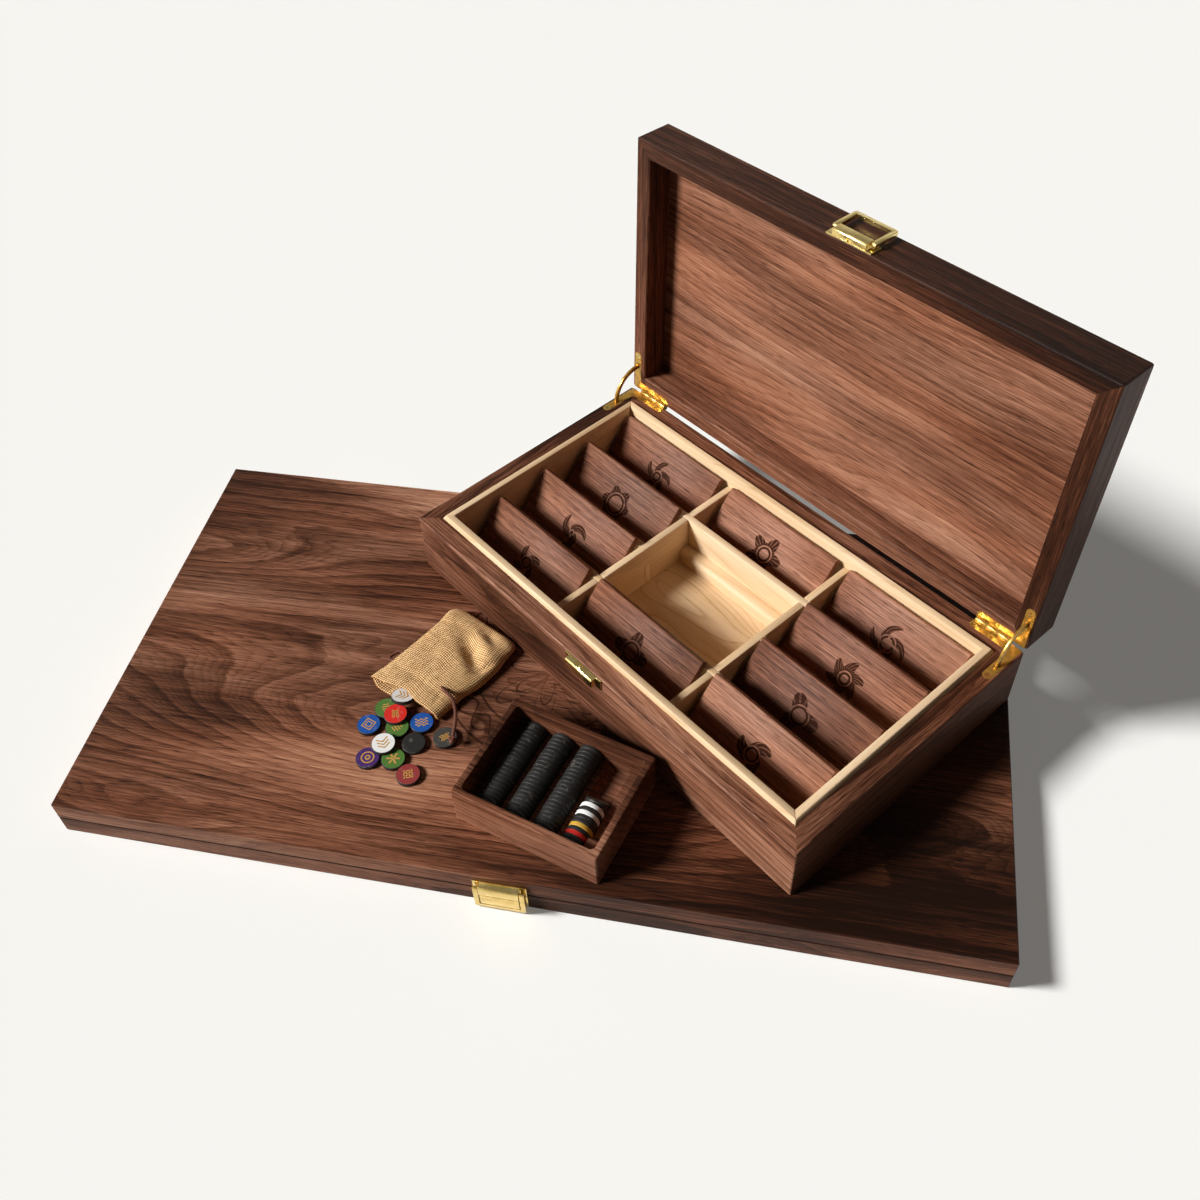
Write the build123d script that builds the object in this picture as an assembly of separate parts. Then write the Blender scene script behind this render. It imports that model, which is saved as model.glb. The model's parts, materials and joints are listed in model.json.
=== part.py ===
import math
import os

from build123d import *

# A wooden card game set: a folded game board with a hinged card case, a token tray and a cloth
# bag of tokens standing on it. All sizes are millimetres. The origin is the centre of the
# folded board's underside, X runs along its front edge, Y to the back and Z up.

# Sizes of the folding board, its playing field sheets and its three back hinges
board_length = 530.0
board_depth = 282.0
board_thickness = 27.0
board_seam = 0.4
board_arris = 0.5
field_margin = 20.0
field_sheet = 1.8
field_sheet_gap = 0.2
board_axis_out = 0.8
board_axis_drop = 0.1
board_hinge_length = 42.0
board_hinge_spacing = 180.0
board_hinge_count = 3
board_leaf_height = 9.5
board_leaf_thickness = 1.2
board_knuckle_radius = 2.4
board_knuckles = 3
knuckle_flats = 12

# Sizes of the card case: base, lid, maple liner and floor
case_front_x = 25.69
case_front_y = -25.81
case_yaw = -37.9
case_length = 320.0
case_depth = 184.3
case_height = 43.4
case_wall = 11.2
case_corner_round = 1.2
case_arris = 0.6
floor_bottom = 1.0
floor_thickness = 3.0
floor_tongue = 4.0
liner_thickness = 5.5
liner_proud = 2.6
liner_bevel_in = 1.6
liner_bevel_tall = 2.8
lid_gap = 0.5
lid_height = 24.9
lid_panel_thickness = 7.7
lid_tongue_depth = 4.0
lid_tongue_thickness = 3.0
lid_lip_radius = 1.5
lid_open_angle = 92.2

# Sizes of the divided insert and its ten leaning card rests
divider_thickness = 4.4
divider_rise = 31.2
column_count = 3
row_count = 4
lap_clearance = 0.05
ledge_depth = 8.0
ledge_rise = 9.5
ledge_round = 3.0
rest_side_gap = 2.8
rest_thickness = 5.0
rest_foot_room = 4.6
rest_overhang = 4.0
rest_softening = 0.6
rest_wall_gap = 0.1
seat_gap = 0.05

# Sizes of the two corner hinges with their floating curved stays
hinge_axis_out = 1.0
leaf_thickness = 1.2
leaf_width = 5.8
leaf_side_margin = 1.5
leaf_side_length = 29.9
leaf_back_length = 32.0
leaf_corner_cut = 1.6
barrel_radius = 2.2
barrel_length = 23.0
barrel_inset = 9.5
barrel_knuckles = 3
knuckle_gap = 0.1
barrel_notch = 0.3
pin_radius = 1.0
pin_clearance = 0.05
stay_radius = 19.5
stay_radial = 3.0
stay_width = 1.5
stay_end_angle = 9.0
stay_clearance = 0.3
screw_head_radius = 1.9
screw_shank_radius = 0.9
screw_length = 7.0
screw_clearance = 0.03
screw_sides = 8
mortise_end_angle = 3.0

# Sizes of the loop latches, the same hardware on the board and on the case
latch_width = 30.0
latch_plate = 1.0
latch_height = 8.6
latch_edge_gap = 0.2
latch_block_width = 22.4
latch_block_out = 4.8
latch_block_height = 7.4
latch_block_chamfer = 0.8
latch_pivot_rise = 5.4
latch_pivot_out = 3.4
loop_reach = 16.3
loop_bar = 2.6
loop_arm = 2.8
loop_thickness = 2.2
loop_side_gap = 0.35
loop_end_radius = 1.3
stud_radius = 0.8
stud_length = 1.5
stud_clearance = 0.05
catch_height = 8.5
catch_ledge_height = 7.0
board_catch_height = 11.0
board_catch_out = 1.9
rivet_radius = 1.4
rivet_rise = 0.8
rivet_sides = 10
rivet_slope = 35.0
latch_x = -0.3

# Sizes of the token tray, its cradle rails and its tokens
tray_x = 20.5
tray_y = -89.1
tray_yaw = -17.3
tray_length = 89.5
tray_depth = 69.5
tray_height = 27.0
tray_wall = 4.0
tray_floor = 4.0
tray_outer_round = 1.5
tray_inner_round = 3.0
tray_rim_bevel = 0.5
token_diameter = 14.2
token_thickness = 2.6
token_spacing = 2.66
token_sides = 14
token_play = 0.3
lane_first = -28.9
lane_pitch = 17.8
lane_counts = [23, 23, 23, 11]
lane_lean = 34.0
rail_rise = 6.5
tray_ledge_width = 9.1
tray_ledge_rise = 12.0
tray_recess_low = -20.0
tray_recess_high = 28.0
tray_recess_drop = 6.0

# Places of the loose tokens on the board: the lower ones lie flat, the upper ones on them
tokens_flat = [
    (-92.1, -45.6), (-81.7, -57.9), (-99.0, -58.6), (-68.2, -52.2), (-68.9, -66.8),
    (-51.8, -59.9), (-92.5, -81.0), (-77.6, -79.2), (-66.0, -87.9),
]
tokens_second = [(-84.5, -50.5), (-85.5, -71.6)]
tilted_token = (-83.5, -38.2)
tilted_token_angle = 18.0
tilted_token_rise = 4.05
tilted_token_turn = -94.6

# Sizes of the cloth bag and its drawstring, with the cord's route in the frame of the board
bag_x = -63.5
bag_y = -7.3
bag_yaw = 61.5
bag_mouth = -26.5
bag_bottom = 35.0
bag_width = 51.0
bag_thickness = 11.0
bag_corner = 6.0
bag_top_slope = 4.0
bag_under_slope = 1.5
bag_cloth = 2.2
bag_pocket = 30.0
bag_pocket_width = 40.0
soft_gap = 0.3
cord_diameter = 2.4
cord_sides = 6
cord_route = [
    (-62.0, -29.0, 35.0), (-57.0, -34.5, 38.9), (-51.0, -39.5, 38.2),
    (-47.9, -47.0, 35.0), (-46.9, -54.5, 33.0), (-46.5, -60.4, 32.7),
]
knot_radius = 2.7
knot_slope = 1.2
side_loop_place = (-16.2, 25.0)
side_loop_radius = 3.0
side_loop_out = 2.4

# Places worked out from the sizes above
seam_height = board_thickness / 2
case_inner_x = case_length / 2 - case_wall
case_inner_y = case_depth / 2 - case_wall
liner_inner_x = case_inner_x - liner_thickness
liner_inner_y = case_inner_y - liner_thickness
floor_top = floor_bottom + floor_thickness
divider_top = floor_top + divider_rise
liner_top = case_height + liner_proud
lid_bottom = case_height + lid_gap
lid_top = lid_bottom + lid_height
lid_recess_top = lid_top - lid_panel_thickness
axis_y = case_depth / 2 + hinge_axis_out
axis_z = case_height + lid_gap / 2
stay_x = case_length / 2 - leaf_side_margin - leaf_width / 2
token_radius = token_diameter / 2
bay_width = (2 * liner_inner_x - (column_count - 1) * divider_thickness) / column_count
column_pitch = bay_width + divider_thickness
column_half = column_pitch / 2
row_pitch = 2 * liner_inner_y / row_count
rest_width = bay_width - 2 * rest_side_gap
rest_run = row_pitch - divider_thickness - rest_foot_room
board_axis_y = board_depth / 2 + board_axis_out
board_axis_z = seam_height - board_axis_drop

case_front = Pos(case_front_x, case_front_y, board_thickness + seat_gap)
case_place = case_front * Rot(0, 0, case_yaw) * Pos(0, case_depth / 2, 0)
lid_place = (
    case_place * Pos(0, axis_y, axis_z) * Rot(-lid_open_angle, 0, 0) * Pos(0, -axis_y, -axis_z)
)
tray_place = Pos(tray_x, tray_y, board_thickness + seat_gap) * Rot(0, 0, tray_yaw)
bag_place = Pos(bag_x, bag_y, board_thickness + soft_gap) * Rot(0, 0, bag_yaw)

parts = {}


def block(low, high):
    """A box from its lowest corner to its highest."""
    size = [top - bottom for bottom, top in zip(low, high)]
    return Pos(*low) * Box(*size, align=(Align.MIN, Align.MIN, Align.MIN))


def rod_x(start, end, y, z, radius):
    """A round bar along X."""
    return Pos((start + end) / 2, y, z) * Rot(0, 90, 0) * Cylinder(radius, end - start)


def flat_rod_x(start, end, y, z, radius, sides):
    """A bar along X with flats, for the outside of a small round thing."""
    bar = extrude(RegularPolygon(radius, sides), (end - start) / 2, both=True)
    return Pos((start + end) / 2, y, z) * Rot(0, 90, 0) * bar


def soft_block(low, high, corner_round, arris):
    """A box with rounded corners seen from above, and bevelled edges above and below."""
    body = block(low, high)
    body = fillet(body.edges().filter_by(Axis.Z), corner_round)
    rims = body.edges().group_by(Axis.Z)
    return chamfer([*rims[0], *rims[-1]], arris)


def ring(length, depth, wall, bottom, top):
    """A four-sided frame whose outer edges are softened."""
    low, high = (-length / 2, -depth / 2, bottom), (length / 2, depth / 2, top)
    outer = soft_block(low, high, case_corner_round, case_arris)
    inside = (length / 2 - wall, depth / 2 - wall)
    return outer - block((-inside[0], -inside[1], bottom - 1), (inside[0], inside[1], top + 1))


def mitre_wedge(side, length, depth, wall, bottom, top):
    """The space of one side of a frame, cut at 45 degrees at its corners."""
    x, y = length / 2, depth / 2
    outlines = {
        "front": [(-x, -y), (x, -y), (x - wall, wall - y), (wall - x, wall - y)],
        "back": [(-x, y), (wall - x, y - wall), (x - wall, y - wall), (x, y)],
        "left": [(-x, -y), (wall - x, wall - y), (wall - x, y - wall), (-x, y)],
        "right": [(x, -y), (x, y), (x - wall, y - wall), (x - wall, wall - y)],
    }
    face = make_face(Polyline(*outlines[side], close=True))
    return Pos(0, 0, bottom) * extrude(face, top - bottom, dir=(0, 0, 1))


def mitred_sides(frame, length, depth, wall, bottom, top):
    """The four sides of a frame, keyed by where they are."""
    sides = ("front", "back", "left", "right")
    return {side: frame & mitre_wedge(side, length, depth, wall, bottom, top) for side in sides}


def arc_bar(radius, radial, width, start, end):
    """A curved bar about the hinge line, between two opening angles from the front."""
    section = Pos(stay_x, -radius, 0) * Rectangle(width, radial)
    section = Rot(-start, 0, 0) * section
    bar = revolve(section, Axis((0, 0, 0), (-1, 0, 0)), end - start)
    return Pos(0, axis_y, axis_z) * bar


def both_ends(shape):
    """A right-hand piece and its mirror image at the left."""
    return [shape, mirror(shape, Plane.YZ)]


def group(place, pieces):
    """Several separate solids of one node, each moved to its place."""
    return Compound(children=[place * piece for piece in pieces])


def knuckle_spans(start, length, count, gap, own):
    """Ends of the knuckles of one leaf, even or odd, along a barrel."""
    pitch = length / count
    return [
        (start + pitch * index + gap / 2, start + pitch * (index + 1) - gap / 2)
        for index in range(count)
        if index % 2 == own
    ]


# Folding board: two slabs with a shallow pocket each for the playing field sheet
def board_half(bottom, top, pocket_bottom, pocket_top):
    slab = block((-board_length / 2, -board_depth / 2, bottom), (board_length / 2, board_depth / 2, top))
    slab = chamfer(slab.edges(), board_arris)
    x, y = board_length / 2 - field_margin, board_depth / 2 - field_margin
    return slab - block((-x, -y, pocket_bottom), (x, y, pocket_top))


field_x = board_length / 2 - field_margin - field_sheet_gap
field_y = board_depth / 2 - field_margin - field_sheet_gap
upper_face = seam_height + board_seam / 2
lower_face = seam_height - board_seam / 2
pocket = field_sheet + field_sheet_gap
board_upper = board_half(upper_face, board_thickness, upper_face - 1, upper_face + pocket)
board_lower = board_half(0, lower_face, lower_face - pocket, lower_face + 1)
parts["playfield_upper"] = block(
    (-field_x, -field_y, upper_face + pocket - field_sheet), (field_x, field_y, upper_face + pocket)
)
parts["playfield_lower"] = block(
    (-field_x, -field_y, lower_face - pocket), (field_x, field_y, lower_face - pocket + field_sheet)
)


# Board hinges: leaves let into the back face, with a barrel just behind it
def board_leaf(centre, upper):
    half = board_hinge_length / 2
    back = board_depth / 2
    if upper:
        low, high = upper_face, upper_face + board_leaf_height
    else:
        low, high = lower_face - board_leaf_height, lower_face
    plate = block((centre - half, back - board_leaf_thickness, low), (centre + half, back, high))
    mortise = plate
    for start, end in knuckle_spans(centre - half, 2 * half, board_knuckles, knuckle_gap, int(upper)):
        cut_start, cut_end = start - knuckle_gap, end + knuckle_gap
        plate -= rod_x(cut_start, cut_end, board_axis_y, board_axis_z, board_knuckle_radius + barrel_notch)
    for start, end in knuckle_spans(centre - half, 2 * half, board_knuckles, knuckle_gap, int(not upper)):
        plate += flat_rod_x(start, end, board_axis_y, board_axis_z, board_knuckle_radius, knuckle_flats)
    bore = rod_x(
        centre - half - 1, centre + half + 1, board_axis_y, board_axis_z, pin_radius + pin_clearance
    )
    return plate - bore, mortise


upper_leaves = []
lower_leaves = []
board_pins = []
for index in range(board_hinge_count):
    centre = (index - (board_hinge_count - 1) / 2) * board_hinge_spacing
    reach = board_hinge_length / 2
    leaf, mortise = board_leaf(centre, True)
    notch = rod_x(
        centre - reach - barrel_notch, centre + reach + barrel_notch,
        board_axis_y, board_axis_z, board_knuckle_radius + barrel_notch,
    )
    upper_leaves.append(leaf)
    board_upper -= mortise
    board_upper -= notch
    leaf, mortise = board_leaf(centre, False)
    lower_leaves.append(leaf)
    board_lower -= mortise
    board_lower -= notch
    board_pins.append(rod_x(centre - reach, centre + reach, board_axis_y, board_axis_z, pin_radius))
parts["board_upper"] = board_upper
parts["board_lower"] = board_lower
parts["board_hinge_leaves_upper"] = Compound(children=upper_leaves)
parts["board_hinge_leaves_lower"] = Compound(children=lower_leaves)
parts["board_hinge_pins"] = Compound(children=board_pins)


# Loop latch, drawn on a wall whose face is at y = 0 with the parting line at z = 0
def latch_block():
    half = latch_block_width / 2
    plate = block((-latch_width / 2, -latch_plate, latch_edge_gap), (latch_width / 2, 0, latch_height))
    body = block((-half, -latch_block_out, 2 * latch_edge_gap), (half, 0, latch_block_height))
    front_edges = body.edges().filter_by(Axis.X).group_by(Axis.Y)[0]
    body = chamfer(front_edges, latch_block_chamfer)
    bores = rod_x(
        -half - 1, half + 1, -latch_pivot_out, latch_pivot_rise, stud_radius + stud_clearance
    ) - rod_x(
        -half + stud_length, half - stud_length, -latch_pivot_out, latch_pivot_rise, stud_radius + 1
    )
    detent_outline = RegularPolygon(rivet_radius + stay_clearance, rivet_sides)
    detent = extrude(detent_outline, rivet_rise + lid_gap, both=True)
    detent = Pos(0, -latch_block_out / 2, 0) * detent
    return plate + body - bores - detent


def latch_loop():
    """The rectangular loop hanging straight down from its two studs."""
    inner = latch_block_width / 2 + loop_side_gap
    outer = inner + loop_arm
    low = latch_pivot_rise - loop_reach - loop_bar / 2
    near = latch_pivot_out - loop_thickness / 2
    far = latch_pivot_out + loop_thickness / 2
    top = latch_pivot_rise + loop_end_radius
    loop = block((-outer, -far, low), (outer, -near, top))
    loop = chamfer(loop.edges().filter_by(Axis.X).group_by(Axis.Z)[-1], loop_thickness / 3)
    loop = chamfer(loop.edges().filter_by(Axis.Y).group_by(Axis.Z)[0], loop_thickness / 2)
    loop -= block((-inner, -far - 1, low + loop_bar), (inner, 1 - near, top + 1))
    stud = rod_x(
        inner - stud_length, inner + loop_arm / 2,
        -latch_pivot_out, latch_pivot_rise, stud_radius,
    )
    for side in both_ends(stud):
        loop += side
    return loop


def latch_catch(height, ledge_height, ledge_out):
    """A plate with a raised ledge, whose top is at z = 0."""
    half = latch_block_width / 2
    plate = block((-latch_width / 2, -latch_plate, -height), (latch_width / 2, 0, 0))
    ledge = block((-half, -ledge_out, -ledge_height), (half, 0, 0))
    ledge_edges = ledge.edges().filter_by(Axis.X).group_by(Axis.Y)[0]
    return plate + chamfer(ledge_edges, min(latch_block_chamfer, ledge_out / 3))


board_latch_place = Pos(latch_x, -board_depth / 2, seam_height)
parts["board_latch_block"] = board_latch_place * latch_block()
parts["board_latch_loop"] = board_latch_place * latch_loop()
board_catch = latch_catch(board_catch_height, board_catch_height, board_catch_out)
parts["board_catch"] = board_latch_place * Pos(0, 0, -latch_edge_gap) * board_catch

catch_top = case_height - latch_edge_gap
catch_rivet = extrude(RegularPolygon(rivet_radius, rivet_sides), rivet_rise, taper=rivet_slope)
catch_rivet = Pos(0, -latch_block_out / 2, 0) * catch_rivet
case_catch = latch_catch(catch_height, catch_ledge_height, latch_block_out) + catch_rivet
parts["case_catch"] = case_place * Pos(0, -case_depth / 2, catch_top) * case_catch
lid_latch_place = lid_place * Pos(0, -case_depth / 2, lid_bottom)
parts["lid_latch_block"] = lid_latch_place * latch_block()
fold_back = Pos(0, -latch_pivot_out, latch_pivot_rise)
fold_back = fold_back * Rot(180, 0, 0) * Pos(0, latch_pivot_out, -latch_pivot_rise)
parts["lid_latch_loop"] = lid_latch_place * fold_back * latch_loop()


# Corner hinges: L-shaped leaves in the rims, a barrel at the back and a stay through both
def hinge_outline():
    """The right-hand leaf seen from above."""
    back = case_depth / 2
    right = case_length / 2 - leaf_side_margin
    left = right - leaf_back_length
    front = back - leaf_side_length
    x, y = right - leaf_width, back - leaf_width
    side = Pos((x + right) / 2, (front + leaf_width / 2 + back) / 2) * Rectangle(
        leaf_width, leaf_side_length - leaf_width / 2
    )
    side += Pos((x + right) / 2, front + leaf_width / 2) * Circle(leaf_width / 2)
    cut = leaf_corner_cut
    corners = [(left, back), (left, y + cut), (left + cut, y), (right, y), (right, back)]
    return side + make_face(Polyline(*corners, close=True))


barrel_end = case_length / 2 - barrel_inset
barrel_start = barrel_end - barrel_length
leaf_plate = extrude(hinge_outline(), -leaf_thickness)
plate_base = Pos(0, 0, case_height) * leaf_plate
plate_lid = Pos(0, 0, lid_bottom + leaf_thickness) * leaf_plate
barrel_space = rod_x(
    barrel_start - barrel_notch, barrel_end + barrel_notch, axis_y, axis_z, barrel_radius + barrel_notch
)
pin_bore = rod_x(barrel_start - 1, barrel_end + 1, axis_y, axis_z, pin_radius + pin_clearance)
half_turn = lid_open_angle / 2
mortise_reach = half_turn + stay_end_angle + mortise_end_angle
mortise_radial = stay_radial + 2 * stay_clearance
mortise_width = stay_width + 2 * stay_clearance
mortise_base = arc_bar(stay_radius, mortise_radial, mortise_width, -mortise_reach, mortise_end_angle)
mortise_lid = arc_bar(stay_radius, mortise_radial, mortise_width, -mortise_end_angle, mortise_reach)


def hinge_leaf(plate, own, stay_slot):
    """One leaf with its knuckles and its slot for the stay."""
    leaf = plate
    for start, end in knuckle_spans(barrel_start, barrel_length, barrel_knuckles, knuckle_gap, 1 - own):
        leaf -= rod_x(start - knuckle_gap, end + knuckle_gap, axis_y, axis_z, barrel_radius + barrel_notch)
    for start, end in knuckle_spans(barrel_start, barrel_length, barrel_knuckles, knuckle_gap, own):
        leaf += flat_rod_x(start, end, axis_y, axis_z, barrel_radius, knuckle_flats)
    return leaf - pin_bore - stay_slot


# Countersunk screws, one near the rounded end of a leaf and two along its back leg
def countersunk(clearance):
    """A screw pointing down, with the flat of its head at z = 0."""
    head = RegularPolygon(screw_head_radius + clearance, screw_sides)
    neck = RegularPolygon(screw_shank_radius + clearance, screw_sides)
    cone = loft([head, Pos(0, 0, -leaf_thickness - clearance) * neck])
    return cone + extrude(neck, -screw_length - clearance)


def at_screws(height, turn, shape):
    """The same shape at the three screw places of the right-hand leaf."""
    right = case_length / 2 - leaf_side_margin
    near_end = case_depth / 2 - leaf_side_length + leaf_width / 2
    back_row = case_depth / 2 - leaf_width / 2 - barrel_radius / 2
    back_left = right - leaf_back_length + leaf_width / 2
    places = [(stay_x, near_end), (back_left, back_row), (back_left + barrel_length / 2, back_row)]
    return [Pos(x, y, height) * Rot(turn, 0, 0) * shape for x, y in places]


screw = countersunk(0)
screw_hole = countersunk(screw_clearance)
base_screws = at_screws(case_height, 0, screw)
lid_screws = at_screws(lid_bottom, 180, screw)
base_holes = at_screws(case_height, 0, screw_hole)
lid_holes = at_screws(lid_bottom, 180, screw_hole)
base_leaf = hinge_leaf(plate_base, 0, mortise_base)
lid_leaf = hinge_leaf(plate_lid, 1, mortise_lid)
for hole in base_holes:
    base_leaf -= hole
for hole in lid_holes:
    lid_leaf -= hole
pin = rod_x(barrel_start, barrel_end, axis_y, axis_z, pin_radius)
stay_top_angle = lid_open_angle + stay_end_angle
stay = arc_bar(stay_radius, stay_radial, stay_width, -stay_end_angle, stay_top_angle)
parts["hinge_leaves_base"] = group(case_place, both_ends(base_leaf))
parts["hinge_leaves_lid"] = group(lid_place, both_ends(lid_leaf))
parts["hinge_pins"] = group(case_place, both_ends(pin))
parts["hinge_screws_base"] = group(case_place, [side for one in base_screws for side in both_ends(one)])
parts["hinge_screws_lid"] = group(lid_place, [side for one in lid_screws for side in both_ends(one)])
parts["hinge_stays"] = group(case_place, both_ends(stay))


# Case base: four mitred walls round a floor panel that is held in their groove
def cut_for_hinges(frame, plate, mortise, holes):
    """A frame with the hinge recesses of both corners cut out of it."""
    for cutter in [plate, mortise, barrel_space, *holes]:
        for side in both_ends(cutter):
            frame -= side
    return frame


floor_x, floor_y = case_inner_x + floor_tongue, case_inner_y + floor_tongue
floor_panel = block((-floor_x, -floor_y, floor_bottom), (floor_x, floor_y, floor_top))
base_ring = ring(case_length, case_depth, case_wall, 0, case_height) - floor_panel
base_ring = cut_for_hinges(base_ring, plate_base, mortise_base, base_holes)
for side, wall in mitred_sides(base_ring, case_length, case_depth, case_wall, 0, case_height).items():
    parts[f"case_wall_{side}"] = case_place * wall
parts["case_floor"] = case_place * floor_panel


# Maple liner: four thin mitred boards inside the walls, proud of the rim with a bevel outside
def liner_ring():
    x, y = case_inner_x, case_inner_y
    bevel_start = liner_top - liner_bevel_tall
    body = block((-x, -y, floor_top), (x, y, bevel_start))
    taper = math.degrees(math.atan(liner_bevel_in / liner_bevel_tall))
    body += Pos(0, 0, bevel_start) * extrude(Rectangle(2 * x, 2 * y), liner_bevel_tall, taper=taper)
    return body - block((-liner_inner_x, -liner_inner_y, 0), (liner_inner_x, liner_inner_y, 2 * liner_top))


liner_size = (2 * case_inner_x, 2 * case_inner_y, liner_thickness, floor_top, liner_top)
for side, board in mitred_sides(liner_ring(), *liner_size).items():
    parts[f"liner_{side}"] = case_place * board

# Lid: four mitred rails with a rounded lip, round a panel with a tongue in their groove
lid_ring = ring(case_length, case_depth, case_wall, lid_bottom, lid_top)
lip_edges = [
    edge for edge in lid_ring.edges().group_by(Axis.Z)[0]
    if abs(edge.center().X) <= case_inner_x + 0.1 and abs(edge.center().Y) <= case_inner_y + 0.1
]
lid_ring = fillet(lip_edges, lid_lip_radius)
tongue_low = lid_recess_top + (lid_panel_thickness - lid_tongue_thickness) / 2
tongue_x, tongue_y = case_inner_x + lid_tongue_depth, case_inner_y + lid_tongue_depth
tongue = block((-tongue_x, -tongue_y, tongue_low), (tongue_x, tongue_y, tongue_low + lid_tongue_thickness))
panel_body = block((-case_inner_x, -case_inner_y, lid_recess_top), (case_inner_x, case_inner_y, lid_top))
parts["lid_panel"] = lid_place * (panel_body + tongue)
lid_ring = cut_for_hinges(lid_ring - tongue, plate_lid, mortise_lid, lid_holes)
for side, rail in mitred_sides(lid_ring, case_length, case_depth, case_wall, lid_bottom, lid_top).items():
    parts[f"lid_rail_{side}"] = lid_place * rail

# Insert: two long dividers and two cross dividers half-lapped, with short cross dividers
lap_height = floor_top + divider_rise / 2
half_divider = divider_thickness / 2
lap_half = half_divider + lap_clearance


def divider_board(x_low, x_high, y_low, y_high, low=floor_top, high=divider_top):
    """An upright board between the floor and the dividers' top."""
    return block((x_low, y_low, low), (x_high, y_high, high))


def lap_notch(x, y, low, high):
    """The space that a crossing board takes at a half lap."""
    return block((x - lap_half, y - lap_half, low), (x + lap_half, y + lap_half, high))


for side, sign in (("left", -1), ("right", 1)):
    x = sign * column_half
    divider = divider_board(x - half_divider, x + half_divider, -liner_inner_y, liner_inner_y)
    for y in (-row_pitch, row_pitch):
        divider -= lap_notch(x, y, lap_height - lap_clearance, divider_top)
    divider -= lap_notch(x, 0, floor_top, lap_height + lap_clearance)
    parts[f"divider_{side}"] = case_place * divider
for side, y in (("front", -row_pitch), ("back", row_pitch)):
    cross = divider_board(-liner_inner_x, liner_inner_x, y - half_divider, y + half_divider)
    for x in (-column_half, column_half):
        cross -= lap_notch(x, y, floor_top, lap_height)
    parts[f"cross_{side}"] = case_place * cross
tenon_end = column_half - half_divider
stub_start = column_half + lap_half
stub = divider_board(stub_start, liner_inner_x, -half_divider, half_divider)
stub += divider_board(tenon_end, stub_start, -half_divider, half_divider, high=lap_height)
parts["cross_stubs"] = group(case_place, both_ends(stub))
ledge_back = row_pitch - half_divider
ledge = block(
    (-tenon_end, ledge_back - ledge_depth, floor_top), (tenon_end, ledge_back, floor_top + ledge_rise)
)
ledge_edge = ledge.edges().filter_by(Axis.X).group_by(Axis.Z)[-1].sort_by(Axis.Y)[0]
parts["compartment_ledge"] = case_place * fillet(ledge_edge, ledge_round)

# Card rests: ten loose slabs, each leaning on the divider or wall behind it
rest_lean = math.degrees(math.atan(rest_run / divider_rise))
rest_length = math.hypot(rest_run, divider_rise) + rest_overhang
rest_slab = block((-rest_width / 2, -rest_thickness, 0), (rest_width / 2, 0, rest_length))
rest_slab = chamfer(rest_slab.edges().filter_by(Axis.X), rest_softening)
row_backs = [-row_pitch - half_divider, -half_divider, row_pitch - half_divider]
row_feet = [back - rest_run for back in row_backs]
wall_foot = liner_inner_y - rest_wall_gap - rest_length * math.sin(math.radians(rest_lean))
row_feet.append(wall_foot)
rest_number = 0
for column, rows in ((-1, (0, 1, 2, 3)), (0, (0, 3)), (1, (0, 1, 2, 3))):
    for row in rows:
        rest_number += 1
        foot = Pos(column * column_pitch, row_feet[row] - seat_gap, floor_top + seat_gap)
        parts[f"card_rest_{rest_number}"] = case_place * foot * Rot(-rest_lean, 0, 0) * rest_slab

# Token tray: an open box with rounded corners
tray_x_half, tray_y_half = tray_length / 2, tray_depth / 2
tray_low, tray_high = (-tray_x_half, -tray_y_half, 0), (tray_x_half, tray_y_half, tray_height)
tray = soft_block(tray_low, tray_high, tray_outer_round, tray_rim_bevel)
well_x, well_y = tray_x_half - tray_wall, tray_y_half - tray_wall
well = block((-well_x, -well_y, tray_floor), (well_x, well_y, tray_height))
well = fillet(well.edges().filter_by(Axis.Z), tray_inner_round)
parts["tray_box"] = tray_place * (tray - well)

# Cradle rails between the token lanes, and the ledge with its finger recess at the right
lanes = [lane_first + lane_pitch * index for index in range(len(lane_counts))]
lane_height = tray_floor + seat_gap + token_radius
rail_end = well_y - seat_gap
tray_fittings = []
for left, right in zip(lanes, lanes[1:]):
    foot_low, foot_high = left + token_radius / 2, right - token_radius / 2
    rail = block((foot_low, -rail_end, tray_floor), (foot_high, rail_end, tray_floor + rail_rise))
    for x in (left, right):
        groove = Rot(90, 0, 0) * Cylinder(token_radius + token_play, 2 * well_y)
        rail -= Pos(x, 0, lane_height) * groove
    tray_fittings.append(rail)
ledge_left = well_x - tray_ledge_width
ledge_top = tray_floor + tray_ledge_rise
tray_ledge = block((ledge_left, -rail_end, tray_floor), (well_x, rail_end, ledge_top))
tray_ledge -= block(
    (ledge_left, tray_recess_low, ledge_top - tray_recess_drop), (well_x, tray_recess_high, ledge_top)
)
tray_ledge &= well
tray_fittings.append(tray_ledge)
parts["tray_rails"] = group(tray_place, tray_fittings)


# Tokens: round discs, stacked on edge in the tray and lying loose on the board
def token():
    """One disc, with enough flats to look round."""
    return extrude(RegularPolygon(token_radius, token_sides), token_thickness / 2, both=True)


on_edge = Rot(90, 0, 0)
full_stack = max(lane_counts)
first = token_spacing / 2 - full_stack * token_spacing / 2
for number, (x, count) in enumerate(zip(lanes, lane_counts), start=1):
    stack = [
        Pos(x, first + token_spacing * index, lane_height) * on_edge * token()
        for index in range(count)
    ]
    if count < full_stack:
        lean = math.radians(lane_lean)
        behind = first + token_spacing * (count - 0.5)
        y = behind + token_radius * math.sin(lean) + token_thickness / 2 * math.cos(lean) + seat_gap
        z = tray_floor + token_radius * math.cos(lean) + token_thickness / 2 * math.sin(lean) + seat_gap
        stack.append(Pos(x, y, z) * Rot(90 + lane_lean, 0, 0) * token())
    parts[f"token_stack_{number}"] = group(tray_place, stack)

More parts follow.
